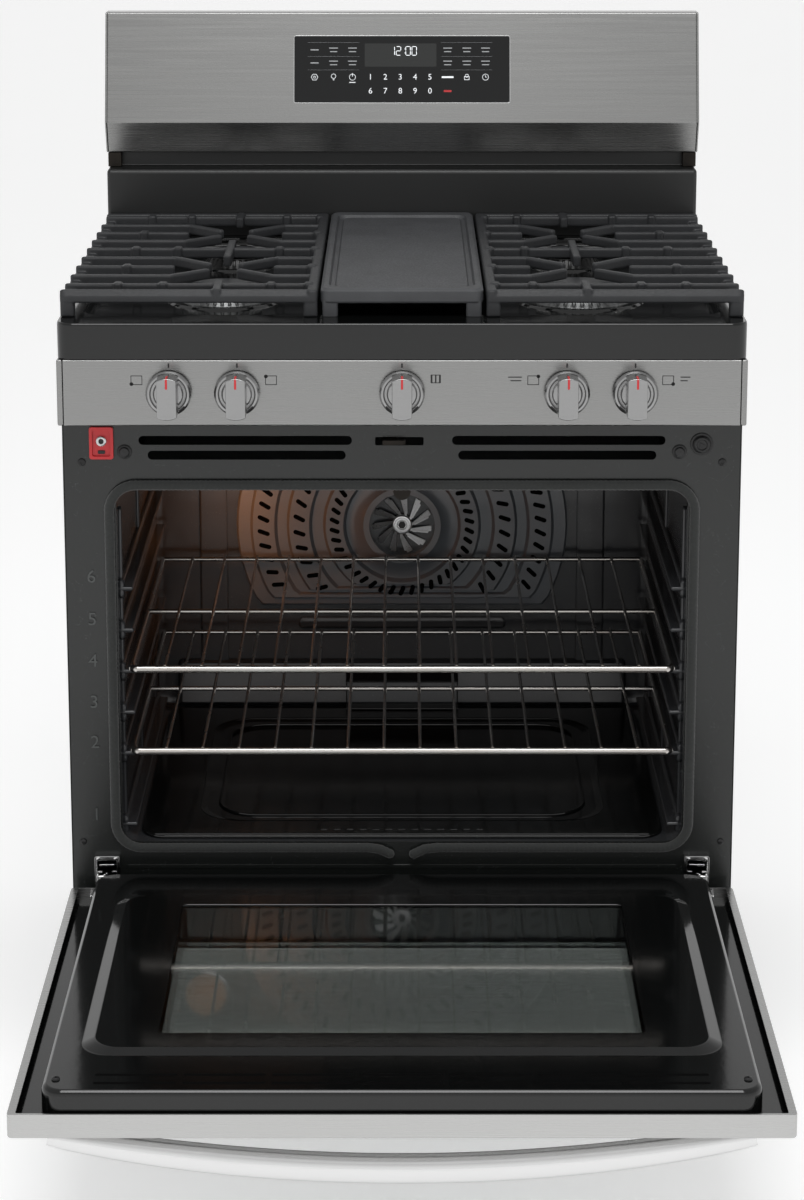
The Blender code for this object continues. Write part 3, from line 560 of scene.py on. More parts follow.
def oven_enamel(name="speckled_oven_enamel", tint=None, roughness=0.26):
    """Grey ground-coat enamel of the oven: satin, with small pale flecks fired into it."""
    def build(tree):
        # flecks are about 0.4 mm; their cells are 3 mm apart so that some of them show
        cells = pattern(tree, "TexVoronoi", (0.0030,) * 3, {"Randomness": 1.0}).outputs["Distance"]
        fleck = spread(tree, cells, 1.0, 0.0, 0.10, 0.17)
        rare = spread(tree, noise(tree, 0.012, 2.0), 0.0, 1.0, 0.50, 0.60)
        amount = node(tree, "Math", {0: fleck, 1: rare}, operation="MULTIPLY").outputs[0]
        return {"Base Color": mixed(tree, amount, tint or shade("grey_enamel"), solid("#4c504f")),
                "Roughness": roughness, "IOR": GLAZE_IOR,
                "Normal": relief(tree, noise(tree, 0.005, 1.0), 0.00008, 0.5)}
    return finish(name, build)


def cast_iron(name="enamelled_cast_iron", tint=None):
    """Cast iron under thin matte enamel: soft grain from the sand mould, and soft random patches up
    to twice as pale."""
    tint = tint or shade("iron")

    def build(tree):
        sand = noise(tree, 0.0016, 3.0)
        return {"Base Color": mixed(tree, noise(tree, 0.03, 2.0), tint, scaled_tint(tint, 2.0)),
                "Roughness": noise_spread(tree, sand, 0.42, 0.62),
                "Normal": relief(tree, sand, 0.00022, 0.7)}
    return finish(name, build)


def galvanised_steel():
    """Hot-dip galvanised sheet: grey zinc with angular crystals that catch light differently."""
    def build(tree):
        zinc = shade("galvanised")
        crystal = pattern(tree, "TexVoronoi", (0.014,) * 3, {"Randomness": 1.0}).outputs["Color"]
        split = node(tree, "SeparateColor", {0: crystal}).outputs[0]
        return metal(mixed(tree, split, scaled_tint(zinc, 0.70), zinc),
                     spread(tree, split, 0.38, 0.55))
    return finish("galvanised_steel", build)


def cast_aluminium(name="cast_aluminium", tint=None):
    """Die-cast aluminium: pale satin metal with a fine open grain."""
    def build(tree):
        pores = noise(tree, 0.0014, 3.0)
        return metal(tint or shade("aluminium"), noise_spread(tree, pores, 0.26, 0.44),
                     Normal=relief(tree, pores, 0.0001, 0.6))
    return finish(name, build)


def turned_brass():
    """Brass rod turned on a lathe: warm metal with fine rings."""
    def build(tree):
        rings = noise(tree, (0.02, 0.0008, 0.02), 1.0)
        return metal(shade("brass"), spread(tree, rings, 0.22, 0.42),
                     Normal=relief(tree, rings, 0.00008, 0.6))
    return finish("turned_brass", build)


def black_glass():
    """Glass printed black on its rear face: dark mirror with hardly any haze."""
    def build(tree):
        wipe = noise(tree, (0.05, 0.05, 0.02), 2.0)
        return {"Base Color": solid("#08090a"), "Roughness": noise_spread(tree, wipe, 0.03, 0.07),
                "IOR": GLAZE_IOR, "Specular IOR Level": 0.28}
    return finish("black_printed_glass", build)


def tinted_glass():
    """Heat-coated oven glass: clear, slightly smoky, with a strong surface reflection."""
    def build(tree):
        wipe = noise(tree, (0.08, 0.05, 0.05), 2.0)
        return {"Base Color": solid("#d2d7d5"), "Roughness": noise_spread(tree, wipe, 0.015, 0.04),
                "IOR": 1.55, "Transmission Weight": 1.0}
    return finish("heat_coated_glass", build)


def heat_darkened_steel():
    """Aluminised burner tube and hook steel browned by heat: dull dark metal with straw
    patches."""
    def build(tree):
        scale = noise(tree, 0.02, 3.0)
        return metal(mixed(tree, scale, solid("#1f1e1d"), solid("#3a3632")),
                     spread(tree, scale, 0.35, 0.6))
    return finish("heat_darkened_steel", build)


def glass_fibre():
    """Braided glass-fibre rope: dull, hairy strands crossing each other."""
    def build(tree):
        strands, fibre = noise(tree, 0.0016, 3.0), shade("gasket")
        return {"Base Color": mixed(tree, strands, scaled_tint(fibre, 0.45), fibre),
                "Roughness": 0.92, "Sheen Weight": 0.25,
                "Normal": relief(tree, strands, 0.0005, 0.8)}
    return finish("braided_glass_fibre", build)


def moulded_plastic(name, tint, low, high):
    """Moulded plastic: an even colour with a fine spark-eroded texture."""
    def build(tree):
        texture = noise(tree, 0.0009, 1.0)
        return {"Base Color": shade(tint), "Roughness": noise_spread(tree, texture, low, high),
                "Normal": relief(tree, texture, 0.00004, 0.5)}
    return finish(name, build)


def red_plastic():
    return moulded_plastic("red_nylon", "red", 0.28, 0.42)


def black_plastic():
    return moulded_plastic("black_nylon", "black_plastic", 0.38, 0.55)


def screen_print(name="white_screen_print", tone=1.0, glow=0.25):
    """White ceramic ink under the glass, faintly lit from behind."""
    ink = scaled_tint(shade("print_white"), tone)

    def build(tree):
        return {"Base Color": ink, "Roughness": spread(tree, noise(tree, 0.002, 1.0), 0.4, 0.6),
                "Emission Color": ink, "Emission Strength": glow}
    return finish(name, build)


def painted_slot_shade():
    """Painted shade: a matte black sheet laid over a cut or slot, standing for its unlit inside, with
    nothing for the eye to catch.
    """
    def build(tree):
        return {"Base Color": solid("#050505"), "Specular IOR Level": 0.05,
                "Roughness": spread(tree, noise(tree, 0.003, 1.0), 0.85, 1.0)}
    return finish("painted_slot_shade", build)


def black_print():
    """Black ink on steel."""
    def build(tree):
        return {"Base Color": solid("#101011"),
                "Roughness": spread(tree, noise(tree, 0.002, 1.0), 0.45, 0.65)}
    return finish("black_screen_print", build)


def lit_segments():
    """Light-emitting segments of the clock."""
    def build(tree):
        return {"Base Color": shade("print_white"), "Emission Color": shade("print_white"),
                "Emission Strength": 0.9,
                "Roughness": spread(tree, noise(tree, 0.004, 1.0), 0.3, 0.4)}
    return finish("lit_white_segments", build)


def lamp_glass():
    """Ribbed clear glass with a warm lamp burning behind it."""
    def build(tree):
        return {"Base Color": solid("#4a443c"), "Roughness": 0.15,
                "Emission Color": solid("#ffb878"), "Emission Strength": 0.12,
                "Normal": relief(tree, noise(tree, 0.006, 1.0), 0.0004, 0.6)}
    return finish("warm_lit_glass", build)


SLOT_FINISH = {"stainless": brushed_stainless, "bright_steel": bright_steel,
               "black_enamel": gloss_enamel, "grey_enamel": oven_enamel, "cast_iron": cast_iron,
               "galvanised": galvanised_steel, "cast_aluminium": cast_aluminium,
               "brass": turned_brass, "dark_glass": black_glass, "clear_glass": tinted_glass,
               "gasket_fibre": glass_fibre, "red_plastic": red_plastic,
               "black_plastic": black_plastic}


# ---------------------------------------------------------------- small fittings

def screw_head(spot, axis="Y", facing=-1, radius=0.004):
    """A pan-head screw: domed disc with a cross sunk in it, as a ring of four lobes at the
    middle."""
    profile = np.array([(radius, 0.0), (radius, 0.0008), (radius * 0.9, 0.0017),
                        (radius * 0.6, 0.0023), (radius * 0.5, 0.0024), (radius * 0.42, 0.0012)])
    profile[:, 1] *= facing

    def cross(t, row):
        return np.where(row > 3, 0.62 + 0.38 * np.cos(2 * t) ** 2, 1.0)
    return turned(profile, spot, axis, 24, cross)


def on_face(shell, lift=0.0):
    """Move a shell made in X and Z, with its thickness along Y, onto the slanted face of the
    backguard: Z becomes the distance up the face from the crease, and -Y stands out from it."""
    up = unit(CREST - CREASE)
    out = np.array((-up[1], up[0]))
    points = shell[0]
    flat = CREASE + points[:, 2:] * up + (lift - points[:, 1:2]) * out
    return np.column_stack([points[:, 0], flat]), shell[1]


# ---------------------------------------------------------------- cabinet

def build_cabinet():
    """Side sheets with rounded edges, the rear sheet with its cover, louvres and screws, and the
    levelling feet.
    """
    for side, name in ((-1, "left"), (1, "right")):
        panel = block((FRAME_Y, BODY_REAR_Y), (BODY_LOW_Z, BODY_HIGH_Z), 0.0015, 3, HALF - 0.0012,
                      HALF, 0.0005, "X")
        piece(name + "_side_sheet", mirrored(panel, side), oven_enamel(), replaces=name
              + "_side_panel")
        for row, y in (("front", 0.030), ("rear", 0.545)):
            foot = join(lathe([(0.0005, 0.0), (0.018, 0.0), (0.018, 0.0055), (0.0085, 0.0085),
                               (0.0085, 0.014), (0.0005, 0.014)], 0.0012, (side * 0.358, y, 0.0),
                              wave=lambda t, row: 1 + 0.03 * np.cos(6 * t)),
                        turned([(0.0062, 0.012), (0.0062, 0.0396)], (side * 0.358, y, 0.0),
                               sides=24), *[turned([(0.0060, z), (0.0070, z + 0.0005),
                                                    (0.0060, z + 0.001)], (side * 0.358, y, 0.0),
                                                   sides=24) for z in np.arange(0.016, 0.037,
                                                                                0.0015)])
            piece("%s_%s_levelling_foot" % (name, row), foot, black_plastic(),
                  replaces="%s_%s_foot" % (name, row))
    rear = BODY_REAR_Y + 0.0003
    sheet = block((-HALF, HALF), (BODY_LOW_Z, BODY_HIGH_Z), 0.0015, 3, rear, rear + 0.0012, 0.0004,
                  "Y")
    cover = nest(even([(0.2195, 0.1605, 0.6195, 0.008, rear + 0.0008),
                       (0.2195, 0.1605, 0.6195, 0.008, BACK_Y - 0.0035),
                       (0.2160, 0.1640, 0.6160, 0.006, BACK_Y - 0.0004),
                       (0.2000, 0.1800, 0.6000, 0.004, BACK_Y - 0.0004)]), "Y", 0.0015)
    louvre = nest(even([(0.045, -0.006, 0.006, 0.0055, rear + 0.0008),
                        (0.042, -0.004, 0.004, 0.0038, rear + 0.0062),
                        (0.038, -0.002, 0.002, 0.0018, rear + 0.0070)]), "Y", 0.001)
    louvres = moved(louvre, *[(x, 0, z) for x in (-0.27, -0.155, 0.0, 0.155, 0.27)
                              for z in np.arange(0.680, 0.801, 0.024)])
    piece("rear_sheet", join(sheet, cover, louvres), galvanised_steel(), replaces="back_panel")
    spots = [(x, z) for x in (-0.360, 0.360) for z in (0.08, 0.30, 0.52, 0.74, 0.85)]
    spots += [(x, z) for x in (-0.2085, 0.2085) for z in (0.18, 0.39, 0.60)]
    screws = [screw_head((x, BACK_Y - 0.0025 if abs(x) < 0.3 else rear + 0.0010, z), "Y", 1)
              for x, z in spots]
    piece("rear_screws", join(*screws), bright_steel())


# ---------------------------------------------------------------- backguard

def build_backguard():
    """Folded stainless shell with a slanted face, its end caps and seams, and the black riser
    under it."""
    fold = sizes().fold
    profile = fillet([CREASE, CREST, (BACK_Y, 1.197), (BACK_Y, 1.020), (0.546, 1.020)],
                     (fold * 1.4, fold, fold, fold, fold * 1.2), 5)
    body = slab(profile, -HALF + 0.0030, HALF - 0.0030, 0.0006, "X")
    caps = both_sides(slab(profile, HALF - 0.0028, HALF, 0.0011, "X", 4))
    piece("backguard_sheet", join(body, caps), brushed_stainless(), replaces="backguard_shell")
    riser = fillet([(0.525, 0.9153), (0.525, 1.001), (0.560, 1.001), (0.560, 1.0197),
                    (BODY_REAR_Y, 1.0197), (BODY_REAR_Y, 0.9153)],
                   (0.0002, 0.006, 0.002, 0.0003, 0.0003, 0.0003), 5)
    satin = gloss_enamel("satin_black_enamel", 0.36, 0.48)
    piece("riser_sheet", slab(riser, -HALF + 0.002, HALF - 0.002, 0.0045, "X", 5), satin,
          replaces="backguard_riser")
    bracket = block((0.3605, 0.3775), (0.5465, 0.5600), 0.001, 2, 1.0015, 1.0195, 0.0005, "Z")
    piece("backguard_brackets", both_sides(bracket), heat_darkened_steel())


def segments(text, left, pitch, height, thick):
    """Seven-segment digits as flat bars, in X and Z from the left end of the row."""
    lit = {"0": "abcdef", "1": "bc", "2": "abged"}
    wide = height * 0.52
    place = {"a": (0, height, 0), "g": (0, height / 2, 0), "d": (0, 0, 0),
             "f": (-wide / 2, height * 0.75, 1), "b": (wide / 2, height * 0.75, 1),
             "e": (-wide / 2, height * 0.25, 1), "c": (wide / 2, height * 0.25, 1)}
    bars, x = [], left
    for mark in text:
        if mark == ":":
            bars += [block((x - thick / 2, x + thick / 2), (z - thick / 2, z + thick / 2), 0.0003,
                           2, 0, INK, INK_RIM, "Y", 1) for z in (height * 0.28, height * 0.72)]
            x += pitch * 0.55
            continue
        for name in lit[mark]:
            across, z, stands = place[name]
            long = height * 0.21 if stands else wide * 0.40
            a, b = (thick / 2, long) if stands else (long, thick / 2)
            bars.append(block((x + across - a, x + across + a), (z - b, z + b), 0.0003, 2, 0, INK,
                              INK_RIM, "Y", 1))
        x += pitch
    return join(*bars)


def ring(outer, inner, centre, sides=24):
    return moved(plate([disc(outer, sides), disc(inner, sides)], 0.0, INK, INK_CUT_RIM, "Y"),
                 (centre[0], 0, centre[1]))


def bar(x, z, half_x, half_z, turn=0.0):
    made = block((-half_x, half_x), (-half_z, half_z), min(half_x, half_z) * 0.6, 2, 0, INK,
                 INK_RIM, "Y", 1)
    return moved(spun(made, turn, "Y"), (x, 0, z))


def build_display():
    """Black glass display: clock segments, key digits, plain dashes for labels and line icons."""
    glass = block((-0.1375, 0.1375), (0.0260, 0.1115), 0.0022, 4, -0.0004, 0.0050, 0.0005, "Y")
    piece("display_pane", on_face(glass), black_glass(), replaces="display_glass")
    frame_ring = plate([rectangle((-0.1384, 0.1384), (0.0250, 0.1124), 0.003, 4),
                        rectangle((-0.1376, 0.1376), (0.0259, 0.1116), 0.0023, 4)], -0.0003,
                       0.0020, 0.0001, "Y")
    piece("display_bezel", on_face(frame_ring), bright_steel())
    window = block((-0.0476, 0.0440), (0.0720, 0.1020), 0.001, 3, -0.0001, 0.0001, 0.00005, "Y", 1)
    piece("clock_window", on_face(window, 0.0004),
          moulded_plastic("smoked_display_film", "grey_enamel", 0.1, 0.16))
    clock = moved(segments("12:00", -0.0124, 0.0079, 0.0112, 0.0007), (0, 0, 0.0868))
    piece("clock_digits", on_face(clock, 0.0006), lit_segments())
    marks, dashes = [], []
    digits = zip("1234567890", [-0.0403, -0.0213, -0.0022, 0.0167, 0.0357] * 2, [0.0586] * 5
                 + [0.0407] * 5)
    for digit, x, z in digits:
        marks.append(moved(glyphs(digit, 0.0074, 0.0001), (x, 0, z)))
    columns = (-0.1117, -0.0874, -0.0633, 0.0583, 0.0828, 0.1067)
    for x in columns:
        for z in (0.0937, 0.0769):
            if x == columns[0]:
                dashes.append(bar(x, z, 0.0052, 0.0007))
            else:
                dashes += [bar(x, z + 0.0023, 0.0056, 0.0006), bar(x, z - 0.0023, 0.0046, 0.0006)]
    z = 0.0586
    marks += [ring(0.0046, 0.0039, (columns[0], z), 6), ring(0.0016, 0.0010, (columns[0], z), 16)]
    marks += [ring(0.0032, 0.0026, (columns[1], z + 0.0012)),
              bar(columns[1], z - 0.0034, 0.0012, 0.0004)]
    marks += [ring(0.0042, 0.0036, (columns[2], z)), bar(columns[2], z + 0.0030, 0.0004, 0.0022)]
    marks += [plate([rectangle((columns[4] - 0.0034, columns[4] + 0.0034),
                               (z - 0.0036, z + 0.0012), 0.0006, 2),
                     rectangle((columns[4] - 0.0027, columns[4] + 0.0027),
                               (z - 0.0029, z + 0.0005), 0.0004, 2)], 0.0, INK, INK_CUT_RIM, "Y"),
              ring(0.0023, 0.0017, (columns[4], z + 0.0018))]
    marks += [ring(0.0042, 0.0036, (columns[5], z)), bar(columns[5] + 0.0009, z, 0.0011, 0.0003),
              bar(columns[5], z + 0.0011, 0.0003, 0.0015)]
    marks += [bar(columns[3], z, 0.0076, 0.0012), bar(columns[2], z - 0.0068, 0.0040, 0.0005)]
    for z in (0.1032, 0.0852, 0.0679):
        dashes += [bar(-0.0875, z, 0.0330, 0.00008), bar(0.0825, z, 0.0330, 0.00008)]
    piece("display_labels", on_face(join(*dashes), 0.0006),
          screen_print("grey_screen_print", 0.45, 0.05))
    piece("display_marks", on_face(join(*marks), 0.0006), screen_print())
    piece("display_red_mark", on_face(bar(columns[3], 0.0407, 0.0050, 0.0013), 0.0006),
          red_plastic())


# ---------------------------------------------------------------- oven

def build_oven():
    """Front frame with vents, and the enamelled cavity behind it with its rack ledges and floor
    tray."""
    outer = rectangle((-0.3779, 0.3779), (0.2220, 0.7992), 0.0015, 3)
    loops = [outer, rectangle((-CAVITY_X + 0.0004, CAVITY_X - 0.0004),
                              (CAVITY_LOW_Z + 0.0004, CAVITY_HIGH_Z - 0.0004), 0.018, 8)]
    for side in (-1, 1):
        for low, high, z in ((0.056, 0.294, 0.774), (0.063, 0.284, 0.757)):
            loops.append(rectangle(sorted((side * low, side * high)), (z - 0.005, z + 0.005),
                                   0.0048, 5))
        loops.append(rectangle(sorted((side * 0.327, side * 0.352)), (0.2290, 0.2790), 0.002, 3))
    loops += [rectangle((-0.030, 0.024), (0.7685, 0.7777), 0.0015, 3),
              disc(0.0100, 32, (SWITCH_X, SWITCH_Z))]
    frame_sheet = plate(loops, FRAME_Y, FRAME_Y + 0.0012, 0.0004, "Y")
    wall = [(CAVITY_X + 0.0010, 0.0010, 0.0190, CAVITY_REAR_Y + 0.0010),
            (CAVITY_X + 0.0010, 0.0010, 0.0190, FRAME_Y + 0.0006),
            (CAVITY_X, 0.0, 0.0180, FRAME_Y + 0.0002),
            (CAVITY_X, 0.0, 0.0180, CAVITY_REAR_Y - 0.012),
            (CAVITY_X - 0.0035, -0.0035, 0.0160, CAVITY_REAR_Y - 0.0035),
            (CAVITY_X - 0.012, -0.012, 0.0120, CAVITY_REAR_Y)]
    rows = even([(x, CAVITY_LOW_Z - grow, CAVITY_HIGH_Z + grow, corner, y)
                 for x, grow, corner, y in wall])
    cavity = nest(rows, "Y", arc=8)
    ledges = []
    for level in RACK_LEVELS:
        top = level - 0.0033
        ledges.append(block((0.004, 0.460), (top - 0.0052, top), 0.0025, 4, 0.3050, 0.3225, 0.0022,
                            "X", 4))
        ledges.append(block((0.004, 0.460), (top - 0.0150, top + 0.0080), 0.006, 4, 0.3150, 0.3225,
                            0.0040, "X", 4))
    ribs = [block((y - 0.006, y + 0.006), (0.315, 0.690), 0.005, 3, 0.3175, 0.3225, 0.0025, "X", 3)
            for y in (0.020, 0.240, 0.440)]
    rear = both_sides(nest([(0.226, 0.262, 0.330, 0.700, 0.006, CAVITY_REAR_Y + 0.0004),
                            (0.226, 0.262, 0.330, 0.700, 0.006, CAVITY_REAR_Y - 0.0030),
                            (0.229, 0.259, 0.333, 0.697, 0.005, CAVITY_REAR_Y - 0.0045)], "Y",
                           0.001))
    step = slab(fillet([(0.4786, 0.3055), (0.4615, 0.3055), (0.4695, 0.3590), (0.4786, 0.3660)],
                       0.003, 4), -0.292, 0.292, 0.006, "X", 5)
    band = nest(even([(0.135, 0.404, 0.420, 0.007, CAVITY_REAR_Y + 0.0004),
                      (0.135, 0.404, 0.420, 0.007, CAVITY_REAR_Y - 0.0020),
                      (0.131, 0.408, 0.416, 0.004, CAVITY_REAR_Y - 0.0040)]), "Y", 0.0015)
    roof = nest(even([(0.240, 0.060, 0.400, 0.030, 0.7204), (0.240, 0.060, 0.400, 0.030, 0.7170),
                      (0.230, 0.070, 0.390, 0.022, 0.7155)]), "Z", 0.002)
    cavity = join(cavity, rear, step, band, roof, both_sides(join(*ledges, *ribs)))
    strips = [nest(even([(0.316, z - 0.0025, z + 0.0025, 0.0022, FRAME_Y + 0.0004),
                         (0.316, z - 0.0018, z + 0.0018, 0.0016, FRAME_Y - 0.0012)]), "Y", 0.0005)
              for z in (0.2560, 0.2700)]
    piece("oven_front_frame", join(frame_sheet, *strips), oven_enamel(), replaces="oven_liner")
    # Painted light: the cavity walls take the frame's enamel tinted paler, standing in for light that
    # hardly reaches the oven's inside
    inside = oven_enamel("cavity_enamel_painted_light", solid("#2c2d2f"), 0.20)
    piece("oven_cavity_walls", cavity, inside)
    tray = nest(even([(0.230, 0.055, 0.395, 0.050, CAVITY_LOW_Z + 0.0003),
                      (0.302, -0.004, 0.456, 0.030, CAVITY_LOW_Z + 0.0003),
                      (0.302, -0.004, 0.456, 0.030, CAVITY_LOW_Z + 0.0040),
                      (0.240, 0.040, 0.410, 0.052, CAVITY_LOW_Z + 0.0048),
                      (0.230, 0.050, 0.400, 0.048, CAVITY_LOW_Z + 0.0026),
                      (0.218, 0.062, 0.388, 0.046, CAVITY_LOW_Z + 0.0026),
                      (0.210, 0.070, 0.380, 0.042, CAVITY_LOW_Z + 0.0010)]), "Z", 0.0020)
    marks = [block((x - 0.005, x + 0.005), (0.014, 0.026), 0.002, 3, CAVITY_LOW_Z + 0.0035,
                   CAVITY_LOW_Z + 0.0050, 0.0004, "Z") for x in np.arange(-0.0900, 0.091, 0.015)]
    for x, low, high, corner in ((0.238, 0.042, 0.408, 0.050), (0.216, 0.064, 0.386, 0.046)):
        bead = rectangle((-x, x), (low, high), corner, 8)
        marks.append(pipe(np.column_stack([bead, np.full(len(bead), CAVITY_LOW_Z + 0.0036)]),
                          0.0014, sides=8, loop=True))
    marks += [pipe([(-0.285, 0.002, CAVITY_LOW_Z + 0.0040), (0.0, 0.002, CAVITY_LOW_Z + 0.0040),
                    (0.285, 0.002, CAVITY_LOW_Z + 0.0040)], 0.0012, sides=8)]
    piece("oven_floor_tray", join(tray, *marks),
          oven_enamel("floor_enamel", shade("black_enamel"), 0.12), replaces="oven_floor")
    hood = both_sides(slab(fillet([(0.440, 0.306), (0.440, 0.344), (0.477, 0.346), (0.477, 0.306)],
                                  0.002, 3), 0.071, 0.0725, 0.0005, "X"))
    lid = slab(fillet([(0.438, 0.342), (0.438, 0.3435), (0.477, 0.3475), (0.477, 0.346)], 0.0005,
                      2), -0.073, 0.073, 0.0005, "X")
    sill = block((0.440, 0.477), (0.3052, 0.3072), 0.0006, 2, -0.073, 0.073, 0.0005, "X")
    piece("air_intake_hood", join(hood, lid, sill), gloss_enamel())
    numbers = [moved(glyphs(digit, 0.015, 0.0020), (-0.350, FRAME_Y - 0.0006, z)) for digit, z in
               zip("654321", (0.616, 0.566, 0.517, 0.468, 0.420, 0.333))]
    piece("rack_numbers", join(*numbers), oven_enamel("worn_oven_enamel", solid("#3d403f")))


def build_gasket():
    """Woven rope round the oven mouth: an oval section carried along a round-cornered path,
    swollen by two crossing waves, 1 + a sin(k s + 3 t) sin(k s - 3 t), that stand for the
    braid."""
    pitch = sizes().gasket_strand
    path = rectangle((-0.328, 0.328), (0.2945, 0.7235), 0.030, 16)
    low = np.argmin(np.abs(path[:, 1] - 0.2945) + np.abs(path[:, 0] - 0.298))
    path = np.roll(path, -low, 0)
    dip = np.array([(0.009, 0.2845), (0.016, 0.2880), (0.026, 0.2928), (0.040, 0.2945)])
    path = np.vstack([dip, path, dip[::-1] * (-1, 1)])
    gone = np.r_[0, np.cumsum(np.linalg.norm(np.diff(path, axis=0), axis=1))]
    s = np.arange(0, gone[-1], pitch / 5)
    spots = np.column_stack([np.interp(s, gone, path[:, 0]), np.full(len(s), FRAME_Y - 0.0048),
                             np.interp(s, gone, path[:, 1])])
    sides = 18
    t = np.linspace(0, 2 * np.pi, sides, endpoint=False)
    along = unit(np.gradient(spots, axis=0))
    across = np.cross(along, (0, 1, 0))
    k = 2 * np.pi / pitch
    braid, wide, deep = 0.07, 0.0058, 0.0045
    wave = k * s[:, None] / 2
    swell = 1 - braid + braid * np.sin(wave + 3 * t) * np.sin(wave - 3 * t)
    ends = np.clip(np.minimum(s, s[-1] - s) / 0.003, 0.15, 1)[:, None] ** 0.5
    rings = (spots[:, None] + across[:, None] * (wide * ends * swell * np.cos(t))[..., None]
             + np.array((0, 1, 0)) * (deep * ends * swell * np.sin(t))[..., None])
    piece("door_gasket_rope", skin(rings), glass_fibre(), replaces="door_gasket",
          angle=60)


def build_front_fittings():
    """Probe socket, bumpers, screws, door switch, latch hook and hinge claws on the oven's
    front."""
    wall = FRAME_Y - 0.0003
    socket = nest([(-0.349, -0.322, 0.7530, 0.7900, 0.0030, wall),
                   (-0.349, -0.322, 0.7530, 0.7900, 0.0030, wall - 0.0037),
                   (-0.3455, -0.3255, 0.7565, 0.7865, 0.0020, wall - 0.0037),
                   (-0.3452, -0.3258, 0.7568, 0.7862, 0.0020, wall - 0.0010)], "Y", 0.0006)
    piece("probe_socket_frame", socket, red_plastic(), replaces="probe_socket")
    jack = turned(fillet([(0.0026, 0.0), (0.0058, 0.0), (0.0058, -0.0026), (0.0045, -0.0034),
                          (0.0028, -0.0030), (0.0026, -0.0008)], 0.0006, 3),
                  (JACK_X, wall - 0.0010, JACK_Z), "Y", 32)
    piece("probe_jack", jack, bright_steel())
    core = join(turned([(0.0027, 0.0), (0.0027, -0.0008), (0.0001, -0.0009)],
                       (JACK_X, wall - 0.001, JACK_Z), "Y", 20),
                block((-0.3395, -0.3315), (0.7590, 0.7630), 0.001, 2, wall - 0.0022, wall - 0.0008,
                      0.0004, "Y"))
    piece("probe_jack_core", core, black_plastic())
    bumper = lathe([(0.0082, 0.0), (0.0082, -0.0016), (0.0058, -0.0022), (0.0052, -0.0040),
                    (0.0002, -0.0046)], 0.0010, (0.310, wall, 0.761), "Y", 32)
    piece("door_bumpers", both_sides(bumper), black_plastic())
    screws = both_sides(join(screw_head((0.358, wall, 0.749), radius=0.0044),
                             screw_head((0.366, wall, 0.300), radius=0.0038)))
    piece("frame_screws", screws, black_plastic())
    switch = lathe([(0.0002, 0.016), (0.0095, 0.016), (0.0095, -0.0046), (0.0080, -0.0060),
                    (0.0060, -0.0060), (0.0056, -0.0046), (0.0002, -0.0046)], 0.0008,
                   (SWITCH_X, FRAME_Y, SWITCH_Z), "Y", 40)
    arrow = slab([(0.3322, 0.7672), (0.3376, 0.7700), (0.3322, 0.7728)], FRAME_Y - 0.0056,
                 FRAME_Y - 0.0040, 0.0003, "Y")
    piece("door_switch_plunger", join(switch, arrow), black_plastic(), "switch_plunger",
          replaces="door_switch")
    collar = turned(fillet([(0.0099, 0.0), (0.0130, 0.0), (0.0125, -0.0016), (0.0099, -0.0018)],
                           0.0005, 3), (SWITCH_X, wall, SWITCH_Z), "Y", 40)
    piece("switch_collar", collar, black_plastic())
    hook = slab(fillet([(-0.022, 0.012), (-0.006, 0.012), (-0.006, -0.0140), (0.004, -0.0140),
                        (0.004, -0.0180), (0.001, -0.0203), (-0.022, -0.0203)], 0.0012, 3), 0.7702,
                0.7760, 0.0007, "Z")
    piece("latch_hook_arm", hook, heat_darkened_steel(), "latch", replaces="latch_hook")
    pocket = plate([rectangle((0.3240, 0.3530), (0.2500, 0.2850), 0.002, 3),
                    rectangle((0.3275, 0.3500), (0.2540, 0.2800), 0.001, 3)], wall - 0.0078, wall,
                   0.0004, "Y")
    bridge = block((0.3300, 0.3480), (0.2730, 0.2750), 0.0008, 3, wall - 0.0070, wall, 0.0005, "Y")
    lugs = [block((x - 0.0030, x + 0.0030), (0.2650, 0.2670), 0.0006, 3, wall - 0.0078, wall,
                  0.0004, "Y") for x in (0.3305, 0.3475)]
    bolts = [lathe([(0.0002, 0.0), (0.0024, 0.0), (0.0024, -0.0010), (0.0002, -0.0016)], 0.0004,
                   (x, wall - 0.0076, 0.2825), "Y", 16) for x in (0.3285, 0.3485)]
    roller = lathe([(0.0002, 0.2500), (0.0024, 0.2500), (0.0024, 0.2560), (0.0016, 0.2570),
                    (0.0016, 0.2590), (0.0024, 0.2600), (0.0024, 0.2640), (0.0002, 0.2645)],
                   0.0004, (0.3400, wall - 0.0050, 0.0), "Z", 20)
    piece("hinge_frames", both_sides(join(pocket, bridge, *lugs, *bolts, roller)), bright_steel())
    for side, name in ((-1, "left"), (1, "right")):
        claw = [(-0.0560, 0.2430), (-0.0550, 0.2385), (-0.0475, 0.2378),
                (FRAME_Y - 0.0004, 0.2405), (FRAME_Y - 0.0004, 0.2525), (-0.020, 0.2535),
                (-0.0200, 0.2665), (-0.0290, 0.2668), (-0.0300, 0.2560), (-0.0390, 0.2545),
                (-0.0475, 0.2553), (-0.0550, 0.2520)]
        cheeks = [slab(fillet(claw, 0.0012, 3), x, x + 0.0018, 0.0004, "X")
                  for x in (0.3402, 0.3480)]
        pins = [turned([(0.0030, 0.3398), (0.0030, 0.3502)], HINGE_AXIS, "X", 20),
                turned([(0.0020, 0.3398), (0.0020, 0.3502)], (0, -0.0250, 0.2620), "X", 16),
                lathe([(0.0005, 0.3422), (0.0052, 0.3422), (0.0052, 0.3478), (0.0005, 0.3478)],
                      0.0008, HINGE_AXIS, "X", 24)]
        seat = block((-0.0395, FRAME_Y - 0.0006), (0.2420, 0.2500), 0.001, 2, 0.3420, 0.3480,
                      0.0006, "X")
        piece(name + "_hinge_claw", mirrored(join(*cheeks, *pins, seat), side), bright_steel(),
              replaces=name + "_hinge_arm")


